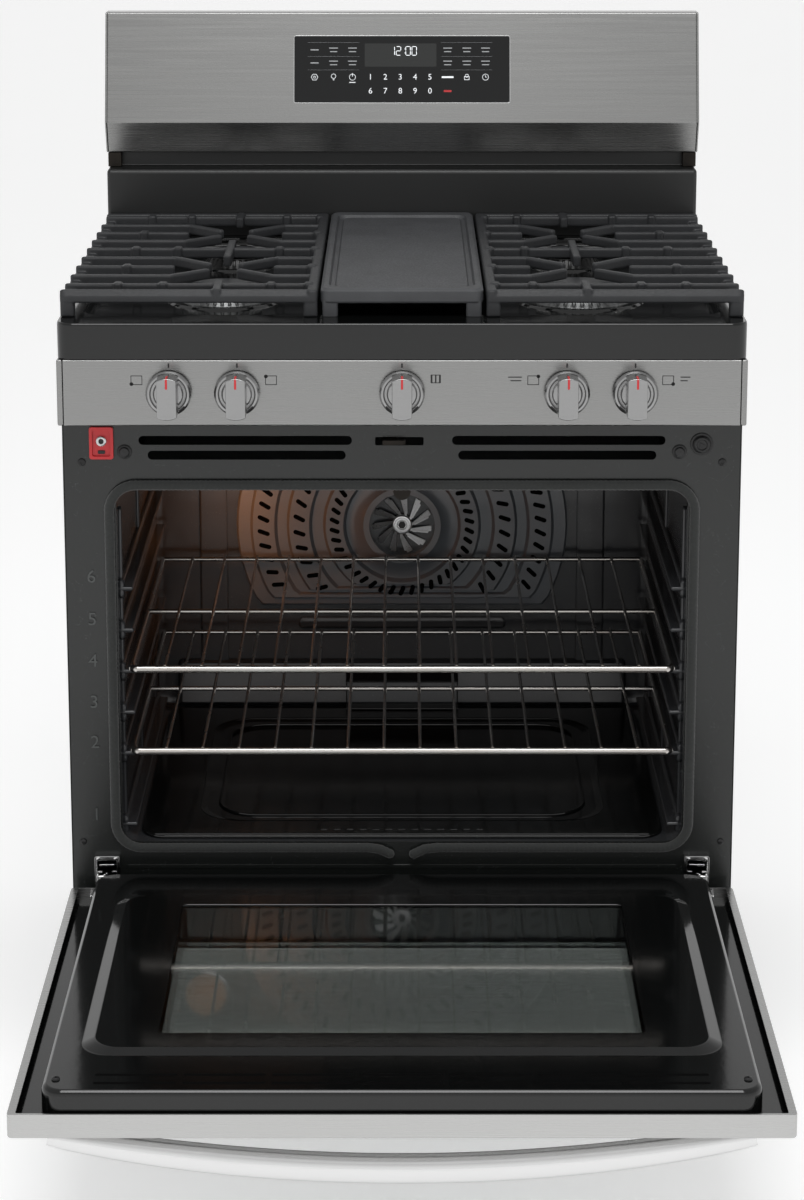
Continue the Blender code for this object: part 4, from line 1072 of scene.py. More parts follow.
def build_fan():
    """Round baffle in stepped rings with leaning slots painted on as black shade, and the star fan
    seen through its middle hole."""
    low, high = 0.438 - FAN_Z, 0.712 - FAN_Z

    def cut(radius, margin=0.0, steps=40):
        """A circle whose foot and crown are cut off flat, as (x, z) about the fan's axis."""
        points = disc(radius, steps * 2)
        return np.column_stack([points[:, 0],
                                np.clip(points[:, 1], low + margin, high - margin)]) + (0, FAN_Z)

    def cut_ring(radius, margin, y):
        flat = cut(radius, margin)
        return np.column_stack([flat[:, 0], np.full(len(flat), y), flat[:, 1]])

    steps = [(0.2136, 0.0004, CAVITY_REAR_Y - 0.0004), (0.2136, 0.0004, 0.4700),
             (0.2110, 0.003, 0.4672), (0.1960, 0.010, 0.4668), (0.1925, 0.012, 0.4640),
             (0.1650, 0.016, 0.4640), (0.1610, 0.018, 0.4690), (0.1490, 0.020, 0.4690),
             (0.1455, 0.022, 0.4640), (0.1200, 0.024, 0.4640), (0.1160, 0.026, 0.4690),
             (0.1020, 0.028, 0.4690), (0.0985, 0.030, 0.4640), (0.0760, 0.032, 0.4640),
             (0.0720, 0.034, 0.4700), (0.0640, 0.034, 0.4700), (0.0540, 0.034, 0.4660),
             (0.0500, 0.034, 0.4635), (0.0424, 0.034, 0.4635), (0.0424, 0.034, 0.4645),
             (0.0424, 0.034, CAVITY_REAR_Y - 0.0004)]
    front = np.array([cut_ring(*step) for step in steps])
    dish = skin(front, loop=True)
    slots = []
    for radius, count, long in ((0.0872, 42, 0.0068), (0.1328, 42, 0.0082), (0.1788, 62, 0.0082)):
        turn = 2 * np.pi * (np.arange(count) + 0.5) / count
        spots = np.column_stack([radius * np.cos(turn), radius * np.sin(turn)])
        for t, (x, z) in zip(turn, spots):
            if low + 0.017 < z < high - 0.012:
                # Painted shade: each slot is a thin black sheet on the baffle, standing for the dark
                # inside of the cut
                hole = block((-long, long), (-0.0029, 0.0029), 0.0028, 3, 0.46375, 0.4655, 0.0001,
                             "Y", 1)
                slots.append(moved(spun(hole, t - 0.40, "Y"), (x, 0, z + FAN_Z)))
    # Painted light: the baffle enamel is tinted far paler than the cavity's, standing in for the
    # front light on its rings
    grey = oven_enamel("baffle_enamel_painted_light", solid("#575a5e"), 0.20)
    piece("fan_cover", dish, grey, replaces="fan_baffle")
    piece("fan_cover_painted_slot_shade", join(*slots), painted_slot_shade())
    blades, hub, tip = 11, 0.0125, 0.0392
    root, end = 2 * np.pi / blades * 0.20, 2 * np.pi / blades * 0.17
    lean = 0.42
    outline = np.array([(hub * math.cos(-root), hub * math.sin(-root)),
                        (tip * math.cos(lean - end), tip * math.sin(lean - end)),
                        (tip * 0.985 * math.cos(lean + end), tip * 0.985 * math.sin(lean + end)),
                        (hub * math.cos(root * 1.4), hub * math.sin(root * 1.4))])
    twist = 0.42

    def twisted(flat, offset):
        """Lean a flat blade: y = offset + twist times the distance across the blade's middle line."""
        points, faces = flat
        across = points[:, 2] * math.cos(lean * 0.5) - points[:, 0] * math.sin(lean * 0.5)
        points[:, 1] += offset + across * twist
        return points, faces

    blade = twisted(slab(fillet(outline, 0.0012, 3), 0.0, 0.0014, 0.0004, "Y"), 0.0040)
    rib = fillet([(0.016, -0.0005), (0.0345, 0.0085), (0.0340, 0.0115), (0.0155, 0.0020)], 0.0008, 3)
    rib = twisted(slab(rib, 0.0, 0.0008, 0.0003, "Y"), 0.0034)
    turns = np.arange(blades) * 2 * np.pi / blades
    hub_shell = lathe([(0.0002, 0.0085), (0.0125, 0.0085), (0.0130, 0.0030), (0.0115, 0.0014),
                       (0.0098, 0.0010), (0.0090, 0.0014), (0.0065, 0.0012), (0.0060, 0.0030),
                       (0.0002, 0.0030)], 0.0005, (0, 0, 0), "Y", 36)
    nut = turned([(0.0048, 0.003), (0.0048, -0.0008), (0.0040, -0.0014), (0.0002, -0.0014)],
                 (0, 0, 0), "Y", 6)
    star = join(spun(blade, turns, "Y"), spun(rib, turns, "Y"), hub_shell)
    piece("fan_shaft_nut", moved(nut, (0.0, BAFFLE_Y + 0.0040, FAN_Z)), black_plastic(), "fan")
    pale = cast_aluminium("pale_cast_aluminium", solid("#dcdcdc"))
    piece("fan_star", moved(star, (0.0, BAFFLE_Y + 0.0040, FAN_Z)), pale, "fan",
          replaces="convection_fan")


def build_lamp():
    """Oven lamp, a ribbed glass dome in a steel ring on the rear wall, and the temperature
    sensor."""
    ribs = turned(fillet([(0.0002, -0.0325), (0.014, -0.0320), (0.022, -0.0270), (0.0262, -0.0150),
                          (0.0275, -0.0060), (0.0275, -0.0006), (0.0002, -0.0006)], 0.004, 4,
                         False), LAMP_SPOT, "Y", 60, lambda t, row: 1 + 0.012 * np.cos(20 * t))
    piece("lamp_glass_dome", ribs, lamp_glass(), replaces="oven_lamp")
    collar = turned(fillet([(0.0280, -0.0008), (0.0325, -0.0008), (0.0320, -0.0060),
                            (0.0285, -0.0070)], 0.001, 3), LAMP_SPOT, "Y", 48)
    piece("lamp_ring", collar, bright_steel())
    sensor = join(pipe(fillet([(0.245, CAVITY_REAR_Y, 0.640), (0.245, 0.400, 0.640)], 0.001, 2,
                              False), 0.0032, (0, 0, 1), 12),
                  block((0.234, 0.256), (0.630, 0.650), 0.003, 3, CAVITY_REAR_Y - 0.0022,
                        CAVITY_REAR_Y - 0.0004, 0.0004, "Y"))
    piece("temperature_sensor", sensor, bright_steel())


def build_racks():
    """Wire racks: a heavy front bar, cross bars, side rails and light wires."""
    thick, thin = sizes().rack_bar, sizes().rack_wire
    pitch = 2 * 0.311 / 15
    for name, z, body in (("upper", 0.5045, "rack_upper"), ("lower", 0.4065, "rack_lower")):
        rail = 0.0029
        front = pipe(fillet([(-0.3068, 0.010, z), (-0.3068, -0.004, z), (0.3068, -0.004, z),
                             (0.3068, 0.010, z)], 0.0065, 5, False), thick, (0, 0, 1), 14)
        parts = [front]
        for y in (0.222, 0.453):
            parts.append(pipe([(-0.3075, y, z), (0.3075, y, z)], rail))
        for side in (-1, 1):
            parts.append(pipe([(side * 0.308, -0.002, z), (side * 0.308, 0.2, z),
                               (side * 0.308, 0.4545, z)], rail))
        for x in -0.311 + pitch * np.arange(1, 15):
            parts.append(pipe([(x, -0.0046, z + 0.0036), (x, 0.2, z + 0.0036),
                               (x, 0.4545, z + 0.0036)], thin, (1, 0, 0), 8))
        piece(name + "_rack_wires", join(*parts), chrome_wire(), body, replaces=body)


# ---------------------------------------------------------------- hob

def build_cooktop():
    """Enamelled hob: pressed pan with a rolled rim, sunk well and a raised collar round each
    burner."""
    edge = sizes().enamel_edge
    rows = even([(0.330, 0.024, 0.484, 0.010, 0.9036), (0.3530, 0.001, 0.507, 0.0230, 0.9036),
                 (0.3535, 0.0005, 0.5075, 0.0235, 0.9130),
                 (HALF - 0.0012, PANEL_Y + 0.0012, 0.5865, 0.0170, 0.9130),
                 (HALF - 0.0012, PANEL_Y + 0.0012, 0.5865, 0.0170, 0.8746),
                 (HALF - 0.0002, PANEL_Y + 0.0002, 0.5877, 0.0180, 0.8746),
                 (HALF, PANEL_Y, 0.5877, 0.0180, COOKTOP_Z - 0.0002),
                 (0.3560, -0.0020, 0.5100, 0.0250, COOKTOP_Z),
                 (0.3520, 0.0020, 0.5060, 0.0220, WELL_Z),
                 (0.3400, 0.0140, 0.4940, 0.0100, WELL_Z)])
    bends = (0, 0.001, 0.001, 0.002, 0.0002, 0.0002, edge, 0.003, 0.003, 0)
    pan = nest(fillet(rows, bends, 5, False), "Z", arc=7)
    collars = []
    for x, y, head, _ in BURNERS.values():
        profile = fillet([(head + 0.016, -0.0004), (head + 0.012, 0.0022), (head + 0.004, 0.0026),
                          (head + 0.0012, 0.0004)], 0.0015, 4, False)
        profile = np.vstack([profile, [(head - 0.002, -0.0004)]])
        collars.append(turned(profile, (x, y, WELL_Z), sides=64, stretch=1.9 if x == 0 else 1.0))
    piece("hob_pan", join(pan, *collars), gloss_enamel(), replaces="cooktop")


def build_burners():
    """Burner heads with flame ports cut in their rims, igniters beside them and loose enamelled
    caps."""
    ports = sizes().burner_ports
    for name, (x, y, head, cap) in BURNERS.items():
        stretch = 2.6 if name == "centre" else 1.0
        count = ports if head > 0.045 else ports - 8

        def notch(t, row, count=count):
            return 1 - np.where((row >= 4) & (row <= 6), 0.05, 0.0) * (np.cos(count * t) > 0.1)
        crown = cap - 0.0008
        lean = head - 0.0006 - crown
        profile = [(head - 0.006, 0.0003), (head, 0.0003), (head, 0.0012), (head - 0.0006, 0.0020),
                   (crown + lean * 0.82, 0.0034), (crown + lean * 0.45, 0.0066),
                   (crown + lean * 0.16, 0.0096), (crown + lean * 0.06, 0.0108), (crown, 0.0122),
                   (crown - 0.002, 0.0127), (0.001, 0.0127)]
        made = turned(profile, (x, y, WELL_Z), sides=count * 8, wave=notch, stretch=stretch)
        # Painted shade: the rear heads get a much darker aluminium, standing in for the shadow of the
        # grates over them; the front heads keep the heat-dulled tone
        dull = (cast_aluminium("heat_dulled_aluminium", solid("#6f7070")) if y < 0.2
                else cast_aluminium("rear_head_painted_shade_aluminium", solid("#303030")))
        piece(name + "_ported_head", made, dull, replaces=name + "_burner_head")
        top = fillet([(0.0005, 0.9184), (cap - 0.002, 0.9184), (cap + 0.0002, 0.9192),
                      (cap, 0.9212), (cap - 0.0028, 0.9231), (cap * 0.55, 0.9235),
                      (0.0005, 0.9235)], 0.0012, 4, False)
        piece(name + "_enamelled_cap", turned(top, (x, y, 0.0), sides=72, stretch=stretch),
              cast_iron(), name + "_cap", replaces=name + "_burner_cap")
        reach = head + 0.006
        spot = (x + (reach if x <= 0 else -reach) * 0.72, y + reach * 0.72, WELL_Z)
        if name == "centre":
            spot = (x + head + 0.006, y - 0.010, WELL_Z)
        pin = lathe([(0.0002, 0.0), (0.0038, 0.0), (0.0036, 0.0090), (0.0022, 0.0110),
                     (0.0002, 0.0112)], 0.0006, spot, sides=20)
        piece(name + "_igniter", pin, moulded_plastic("white_ceramic", "print_white", 0.25, 0.4))
        tip = turned([(0.0006, 0.0108), (0.0006, 0.0128), (0.0002, 0.0131)], spot, sides=12)
        piece(name + "_igniter_tip", tip, bright_steel())


def iron_bar(start, end, width, low, high, bevel=0.22):
    """A tapered cast bar in plan from start to end: a section with chamfered crest, carried
    straight, its ends drawn in."""
    start, end = np.asarray(start, float), np.asarray(end, float)
    along = unit(end - start)
    across = np.array((-along[1], along[0]))
    crest, top = high - width * bevel, 0.5 - bevel * 0.6
    section = np.array([(-0.42, low), (0.42, low), (0.5, low + 0.0015), (0.5, crest), (top, high),
                        (-top, high), (-0.5, crest), (-0.5, low + 0.0015)])
    shrink, travel = np.array((0.55, 0.88, 1.0, 1.0, 0.88, 0.55)), np.array((0, 0.14, 0.40))
    span = np.linalg.norm(end - start)
    gone = np.r_[travel * width, span - travel[::-1] * width]
    middle = (low + high) / 2
    wide = section[None, :, 0] * width * shrink[:, None]
    tall = middle + (section[None, :, 1] - middle) * (0.55 + 0.45 * shrink[:, None])
    flat = start + along * gone[:, None, None] + across * wide[..., None]
    return skin(np.concatenate([flat, tall[..., None]], -1))


def cast(name, shell, body, node_name):
    """Fuse overlapping bars into one casting: remeshed to small cells and smoothed for soft
    fillets."""
    holder = in_scene(name + "_rough", mesh_of(name, shell))
    cells = holder.modifiers.new("cells", "REMESH")
    cells.mode, cells.voxel_size = "VOXEL", sizes().cast_cell
    soften = holder.modifiers.new("soften", "SMOOTH")
    soften.factor, soften.iterations = CAST_SOFTENING, 1
    lighten = holder.modifiers.new("lighten", "DECIMATE")
    lighten.ratio = CAST_FACES_KEPT
    return piece(name, evaluated(holder), cast_iron(), body, replaces=node_name,
                 angle=38)


def build_grates():
    """Two cast grates: a bevelled front rail, inner rail and nine cross bars whose outer ends
    stand free, with fingers bent towards each burner's middle."""
    rows = (0.025, 0.081, 0.138, 0.197, 0.257, 0.314, 0.372, 0.430, 0.493)
    crest, high, low, outer, inner = 0.9467, 0.9453, 0.9335, 0.3762, 0.0990
    bars = [((inner, -0.016), (inner, 0.521), 0.0120, 0.9305, high),
            ((inner - 0.0057, -0.0095), (0.3780, -0.0095), 0.0130, 0.9305, high - 0.0002, 0.55),
            ((inner - 0.0050, 0.5150), (0.3775, 0.5150), 0.0120, 0.9305, high - 0.0002),
            ((0.3705, -0.012), (0.3705, 0.518), 0.0130, 0.9305, 0.9385)]
    for row in (0, 4, 8):
        bars.append(((inner, rows[row]), (outer, rows[row]), 0.0082, low, high))
    for row, middle in ((2, 0.137), (6, 0.371)):
        bars += [((0.262, rows[row]), (outer, rows[row]), 0.0082, low, high),
                 ((inner, rows[row]), (0.148, rows[row]), 0.0082, low, high)]
        for near, away in ((row - 1, -1), (row + 1, 1)):
            y, tip = rows[near], middle + away * 0.017
            bars += [((0.260, y), (outer, y), 0.0082, low, high),
                     ((inner, y), (0.150, y), 0.0082, low, high),
                     ((0.222, tip), (0.263, y), 0.0082, low, high),
                     ((0.147, y), (0.188, tip), 0.0082, low, high)]
    shell = [iron_bar(*spec) for spec in bars]
    blocks = [(x, rows[row], 0.0080) for x, ends in ((0.317, (0, 2, 4, 6, 8)), (0.267, (0, 4, 8)),
                                                     (0.146, (0, 4, 8)), (0.104, (0, 2, 4, 6, 8)))
              for row in ends]
    blocks += [(0.205, 0.012, 0.028), (0.205, 0.252, 0.058), (0.205, 0.494, 0.023)]
    for x, y, reach in blocks:
        shell.append(nest([(x - 0.0046, x + 0.0046, y - reach, y + reach, 0.0022, low + 0.001),
                           (x - 0.0046, x + 0.0046, y - reach, y + reach, 0.0022, crest - 0.0010),
                           (x - 0.0036, x + 0.0036, y - reach + 0.001, y + reach - 0.001, 0.0018,
                            crest)], "Z", arc=3))
    for x in (0.3700, 0.1013):
        for y in (-0.008, 0.513):
            shell.append(nest([(x - 0.0080, x + 0.0078, y - 0.0075, y + 0.0075, 0.003, 0.9153),
                               (x - 0.0080, x + 0.0078, y - 0.0075, y + 0.0075, 0.003, 0.9350)],
                              "Z"))
    shell = join(*shell)
    for side, name in ((-1, "left_grate"), (1, "right_grate")):
        cast(name + "_casting", mirrored(shell, side), name, name)


def build_griddle():
    """Cast griddle plate with a gutter round its raised cooking face and a bevelled rim."""
    half, front, rear = 0.0900, -0.016, 0.521
    rows = even([(0.070, 0.004, 0.500, 0.010, 0.9390), (0.082, -0.008, 0.513, 0.008, 0.9390),
                 (0.082, -0.008, 0.513, 0.008, 0.9305),
                 (half - 0.001, front + 0.001, rear - 0.001, 0.008, 0.9305),
                 (half, front, rear, 0.009, 0.9325), (half, front, rear, 0.009, 0.9440),
                 (half - 0.0035, front + 0.0035, rear - 0.0035, 0.008, 0.9467),
                 (0.0815, 0.0015, 0.4955, 0.012, 0.9467), (0.0795, 0.0035, 0.4935, 0.012, 0.9422),
                 (0.0750, 0.0080, 0.4890, 0.010, 0.9422), (0.0730, 0.0100, 0.4870, 0.010, 0.9446),
                 (0.0600, 0.0230, 0.4740, 0.008, 0.9446)])
    feet = [nest([(x - 0.0085, x + 0.0085, y - 0.0075, y + 0.0075, 0.003, 0.9153),
                  (x - 0.0088, x + 0.0088, y - 0.0078, y + 0.0078, 0.003, 0.9330)], "Z")
            for x in (-0.0795, 0.0795) for y in (front + 0.009, rear - 0.009)]
    coated = cast_iron("coated_griddle_iron", solid("#303133"))
    piece("griddle_casting", join(nest(rows, "Z", 0.0012), *feet), coated, "griddle",
          replaces="griddle")


# ---------------------------------------------------------------- controls

def build_control_panel():
    """Folded stainless panel with separate end caps, and the printed burner icons."""
    fold = sizes().fold
    back = FRAME_Y - 0.0017
    profile = fillet([(PANEL_Y, 0.7999), (PANEL_Y, BODY_HIGH_Z), (back, BODY_HIGH_Z),
                      (back, 0.7999)], (fold, fold, 0.0003, 0.0003), 5)
    body = slab(profile, -0.3722, 0.3722, 0.0005, "X")
    caps = both_sides(slab(profile, 0.3727, HALF, 0.0018, "X", 5))
    bump = both_sides(nest([(0.3735, 0.3785, 0.8110, 0.8210, 0.0022, PANEL_Y + 0.0006),
                            (0.3740, 0.3780, 0.8118, 0.8202, 0.0019, PANEL_Y + 0.0001)], "Y"))
    piece("control_panel_sheet", join(body, caps, bump), brushed_stainless(),
          replaces="control_panel")
    icons = []
    for x, dot in ((-0.2914, (-1, -1)), (-0.1437, (-1, 1)), (0.1440, (1, 1)), (0.2920, (1, -1))):
        box = plate([rectangle((-0.0064, 0.0064), (-0.0053, 0.0053), 0.0006, 2),
                     rectangle((-0.0056, 0.0056), (-0.0045, 0.0045), 0.0004, 2)], 0.0, PANEL_INK,
                    INK_CUT_RIM, "Y")
        spot = slab(disc(0.0021, 20), 0.0, PANEL_INK, INK_RIM, "Y", 1)
        icons += [moved(box, (x, 0, 0.8515)),
                  moved(spot, (x + 0.0056 * dot[0], 0, 0.8515 + 0.0043 * dot[1]))]
    box = plate([rectangle((-0.0056, 0.0056), (-0.0048, 0.0048), 0.0006, 2),
                 rectangle((-0.0036, -0.0008), (-0.0040, 0.0040), 0.0004, 2),
                 rectangle((0.0008, 0.0036), (-0.0040, 0.0040), 0.0004, 2)], 0.0, PANEL_INK,
                INK_CUT_RIM, "Y")
    icons.append(moved(box, (0.0370, 0, 0.8530)))
    icons += [bar(x, z, wide, 0.0006) for x, z, wide in
              ((0.1240, 0.8550, 0.0075), (0.1250, 0.8510, 0.0060), (0.3110, 0.8550, 0.0055),
               (0.3095, 0.8510, 0.0040))]
    icons += [bar(x, 0.8680, 0.0009, 0.0025) for x in KNOBS.values()]
    piece("panel_icons", moved(join(*icons), (0, PANEL_Y - 0.00014, 0)), black_print())


def build_knobs():
    """Knobs: a polished skirt with a stepped ring and a tall flat-faced grip whose outline is a
    circle cut off at both sides, z = sqrt(r^2 - x^2), with a red pointer line over its top
    edge."""
    for name, x in KNOBS.items():
        centre = (x, PANEL_Y, KNOB_Z)
        skirt = turned(fillet([(0.0060, -0.0036), (0.0248, -0.0036), (0.0250, -0.0085),
                               (0.0228, -0.0112), (0.0205, -0.0116), (0.0195, -0.0100),
                               (0.0170, -0.0098), (0.0150, -0.0120), (0.0060, -0.0125)], 0.0009,
                              4), centre, "Y", 64)
        rows = fillet([(0.0112, 0.0236, -0.0090), (0.0109, 0.0234, -0.0200),
                       (0.0107, 0.0232, -0.0384), (0.0095, 0.0215, -0.0385),
                       (0.0050, 0.0150, -0.0383)], (0, 0.002, 0.0014, 0.001, 0), 4, False)
        reach = np.linspace(1, -1, 13) * rows[:, :1]
        rise = np.sqrt(rows[:, 1:2] ** 2 - reach ** 2)
        flat = np.stack([np.hstack([reach, reach[:, ::-1]]), np.hstack([rise, -rise])], -1)
        grip = moved(skin(raised(flat, rows[:, 2], "Y")), centre)
        steel = satin_steel("satin_knob_steel", solid("#9b9b9b"))
        piece(name + "_knob_grip", join(skirt, grip), steel, name + "_knob", replaces=name
              + "_knob", angle=40)
        line = block((x - 0.0012, x + 0.0012), (KNOB_Z + 0.0115, KNOB_Z + 0.0226), 0.0004, 2,
                     PANEL_Y - 0.0387, PANEL_Y - 0.0378, 0.0002, "Y")
        ridge = block((x - 0.0012, x + 0.0012), (PANEL_Y - 0.0382, PANEL_Y - 0.0250), 0.0004, 2,
                      KNOB_Z + 0.0225, KNOB_Z + 0.0236, 0.0002, "Z")
        piece(name + "_pointer", join(line, ridge), red_plastic(), name + "_knob")
        marks = []
        for side in ((1,) if x < -0.01 else (-1,) if x > 0.01 else (1, -1)):
            mark = block((-0.0042, 0.0042), (-0.0229, -0.0211), 0.0005, 2, -0.0120, -0.0095,
                         0.0001, "Y")
            marks.append(moved(spun(mark, side * 0.73, "Y"), centre))
        piece(name + "_skirt_marks", join(*marks), black_print(), name + "_knob")


# ---------------------------------------------------------------- door and drawer

def build_door():
    """Open door: stainless skin, enamelled liner stepped up to a window frame, two panes and hinge
    plates."""
    skin_rows = even([(0.250, -0.452, -0.162, 0.012, 0.2272),
                      (0.250, -0.452, -0.162, 0.012, 0.2260),
                      (HALF, FRONT_Y, -0.030, 0.004, 0.2260),
                      (HALF, FRONT_Y, -0.030, 0.004, 0.2510),
                      (HALF - 0.0085, FRONT_Y + 0.0030, -0.0312, 0.002, 0.2510),
                      (HALF - 0.0085, FRONT_Y + 0.0030, -0.0312, 0.002, 0.2500),
                      (HALF - 0.0012, FRONT_Y + 0.0012, -0.0312, 0.003, 0.2500),
                      (HALF - 0.0012, FRONT_Y + 0.0012, -0.0312, 0.003, 0.2272)])
    bends = (0.0003, 0.0003, 0.0024, 0.0010, 0.0004, 0.0004, 0.0003, 0.0008)
    # Painted light: the door skin is the panels' stainless tinted paler, standing in for the stronger
    # light that falls on the open door
    bright = brushed_stainless("door_stainless_painted_light", solid("#b9b9b8"))
    piece("door_skin_sheet", nest(fillet(skin_rows, bends, 5), "Z", loop=True), bright, "door",
          replaces="door_skin")
    edge = HALF - 0.0015
    liner = even([(0.2438, -0.4712, -0.1428, 0.006, 0.2758),
                  (0.2430, -0.4720, -0.1420, 0.006, 0.2770),
                  (0.3060, -0.5050, -0.1150, 0.026, 0.2770),
                  (0.3180, -0.5140, -0.1050, 0.032, 0.2722),
                  (0.3440, -0.5880, -0.0420, 0.018, 0.2720),
                  (0.3480, -0.5920, -0.0380, 0.020, 0.2690),
                  (0.3485, -0.5925, -0.0375, 0.020, 0.2402),
                  (edge, -0.5965, -0.0315, 0.003, 0.2400), (edge, -0.5965, -0.0315, 0.003, 0.2385),
                  (0.3470, -0.5905, -0.0390, 0.018, 0.2385),
                  (0.3465, -0.5900, -0.0400, 0.018, 0.2706),
                  (0.3160, -0.5120, -0.1070, 0.030, 0.2710),
                  (0.3040, -0.5030, -0.1170, 0.024, 0.2757)])
    bends = (0.0004, 0.0012, 0.010, 0.006, 0.006, 0.006, 0.001, 0.0005, 0.0005, 0.001, 0.004,
             0.004, 0.004)
    piece("door_liner_pan", nest(fillet(liner, bends, 5), "Z", loop=True, arc=8), gloss_enamel(),
          "door", replaces="door_liner")
    # Painted shade: the vent slots are thin black sheets on the liner, standing for the dark inside
    # of the vents
    vents = []
    for y in (-0.556, -0.574):
        vents += [block((x - 0.040, x + 0.040), (y - 0.0026, y + 0.0026), 0.0025, 4, 0.2716,
                        0.27212, 0.0001, "Z", 1) for x in 0.086 * np.arange(-3, 4)]
    piece("door_vent_painted_slot_shade", join(*vents), painted_slot_shade(), "door")
    outer = block((-0.262, 0.262), (-0.464, -0.150), 0.006, 4, 0.2275, 0.2323, 0.0006, "Z")
    piece("door_outer_pane", outer, tinted_glass(), "door", replaces="door_window")
    inner = block((-0.255, 0.255), (-0.484, -0.130), 0.004, 4, 0.2713, 0.2755, 0.0005, "Z")
    piece("door_inner_pane", inner, tinted_glass(), "door", replaces="door_glass")
    well = nest(even([(0.2460, -0.4750, -0.1390, 0.006, 0.2706),
                      (0.2460, -0.4750, -0.1390, 0.006, 0.2350),
                      (0.2400, -0.4690, -0.1450, 0.006, 0.2350),
                      (0.2400, -0.4690, -0.1450, 0.006, 0.2706)]), "Z", loop=True)
    piece("window_spacer", well, gloss_enamel(), "door")
    # the handle bows up towards both ends, z = a + b r^2, and thins there
    stations, grip_y = 65, -0.567
    reach = np.linspace(-1, 1, stations)
    path = np.column_stack([0.345 * reach, np.full(stations, grip_y),
                            0.1795 + 0.0355 * reach ** 2 - 0.0005])
    size = np.column_stack([0.0113 - 0.0012 * reach ** 6, 0.0153 - 0.0048 * reach ** 4])
    tube = satin_steel("satin_handle_steel", solid("#dadada"))
    piece("door_handle_bar", pipe(path, size, (0, 0, 1), 36), tube, "door",
          replaces="door_handle")
    ends = [lathe([(0.0002, 0.2255), (0.0125, 0.2255), (0.0125, 0.2225), (0.0085, 0.2175),
                   (0.0002, 0.2170)], 0.001, (side * 0.334, grip_y, 0.0), sides=32)
            for side in (-1, 1)]
    piece("handle_ends", join(*ends), bright_steel(), "door")
    plates = []
    for side in (-1, 1):
        tongue = [(-0.0770, 0.2410), (-0.0770, 0.2600), (-0.0640, 0.2640), (-0.0500, 0.2560),
                  (-0.0440, 0.2500), (-0.0440, 0.2420), (-0.0500, 0.2400)]
        for x in (0.3372, 0.3512):
            plates.append(mirrored(slab(fillet(tongue, 0.0015, 3), x, x + 0.0014, 0.0003, "X"),
                                   side))
        for near, far in ((0.3368, 0.3398), (0.3502, 0.3530)):
            pin = turned([(0.0024, near), (0.0024, far)], HINGE_AXIS, "X", 16)
            plates.append(mirrored(pin, side))
    piece("hinge_plates", join(*plates), bright_steel(), "door")
    corners = [screw_head((x, -0.566, 0.2721), "Z", 1, 0.0042) for x in (-0.335, 0.335)]
    piece("liner_screws", join(*corners), black_plastic(), "door")


def build_drawer():
    """Storage drawer: a folded stainless front; the galvanised tray behind it keeps its own
    shape."""
    low, high, face = 0.060, 0.217, PANEL_Y - 0.016
    rows = even([(HALF - 0.0012, low + 0.0012, high - 0.0012, 0.002, face + 0.0014),
                 (HALF - 0.0012, low + 0.0012, high - 0.0012, 0.002, FRAME_Y - 0.0017),
                 (HALF, low, high, 0.003, FRAME_Y - 0.0017), (HALF, low, high, 0.003, face),
                 (HALF - 0.020, low + 0.020, high - 0.020, 0.002, face)])
    piece("drawer_front_sheet", nest(fillet(rows, (0, 0.001, 0.0004, 0.005, 0), 5, False), "Y"),
          brushed_stainless(), "drawer", replaces="drawer_front")


# ---------------------------------------------------------------- stage

def build_stage():
    """Pale floor, soft studio light, and the camera a little above the hob, looking slightly
    down."""
    def paper(tree):
        grain = pattern(tree, "TexNoise", (0.4, 0.4, 0.4)).outputs["Fac"]
        return {"Base Color": solid("#e6e6e6"), "Roughness": spread(tree, grain, 0.55, 0.75),
                "Emission Color": solid("#ffffff"), "Emission Strength": 0.42}

    floor = bpy.data.meshes.new("studio_floor")
    reach = FLOOR_REACH
    corners = [(-reach, -reach, 0), (reach, -reach, 0), (reach, reach, 0), (-reach, reach, 0)]
    floor.from_pydata(corners, [], [(0, 1, 2, 3)])
    floor.materials.append(finish("pale_studio_floor", paper))
    in_scene("studio_floor", floor)

    world = bpy.data.worlds.new("studio")
    bpy.context.scene.world = world
    world.use_nodes = True
    tree = world.node_tree
    tree.nodes.clear()
    # soft box all round: full white at eye level, dimmer overhead
    aim_at = node(tree, "TexCoord").outputs["Generated"]
    height = node(tree, "SeparateXYZ", {0: aim_at}).outputs["Z"]
    fade = spread(tree, height, 1.0, 0.50, 0.12, 0.60)
    light = node(tree, "Background", {"Color": (1.0, 1.0, 1.0, 1.0), "Strength": fade})
    node(tree, "OutputWorld", {"Surface": light.outputs[0]})

    lamps = (("overhead_softbox", "AREA", (0.0, -1.3, 3.4), (math.radians(8), 0, 0), 1.7, 48,
              (1.0, 1.0, 1.0)), ("front_softbox", "AREA", (0.0, -4.4, 3.2),
                                 (math.radians(58), 0, 0), 1.3, 1.6, (1.0, 1.0, 1.0)),
             ("oven_lamp_glow", "POINT", (-0.215, 0.370, 0.590), (0, 0, 0), 0.03, 0.55,
              linear("#ff9c50")))
    for name, kind, place, turn, size, power, tint in lamps:
        lamp = bpy.data.lights.new(name, kind)
        lamp.energy, lamp.color = power, tint
        if kind == "AREA":
            lamp.size = size
        else:
            lamp.shadow_soft_size = size
        holder = in_scene(name, lamp)
        holder.location, holder.rotation_euler = place, turn
        holder.visible_glossy = holder.visible_transmission = kind == "AREA"

    camera = bpy.data.cameras.new("camera")
    camera.sensor_width, camera.lens, camera.shift_y = 36.0, CAMERA_LENS_MM, CAMERA_SHIFT
    camera.clip_start, camera.clip_end = 0.1, FLOOR_REACH
    holder = in_scene("camera", camera)
    holder.location = CAMERA_SPOT
    holder.rotation_euler = (math.radians(90 - CAMERA_PITCH), 0, 0)
    bpy.context.scene.camera = holder
    bpy.context.scene.view_settings.view_transform = "Standard"


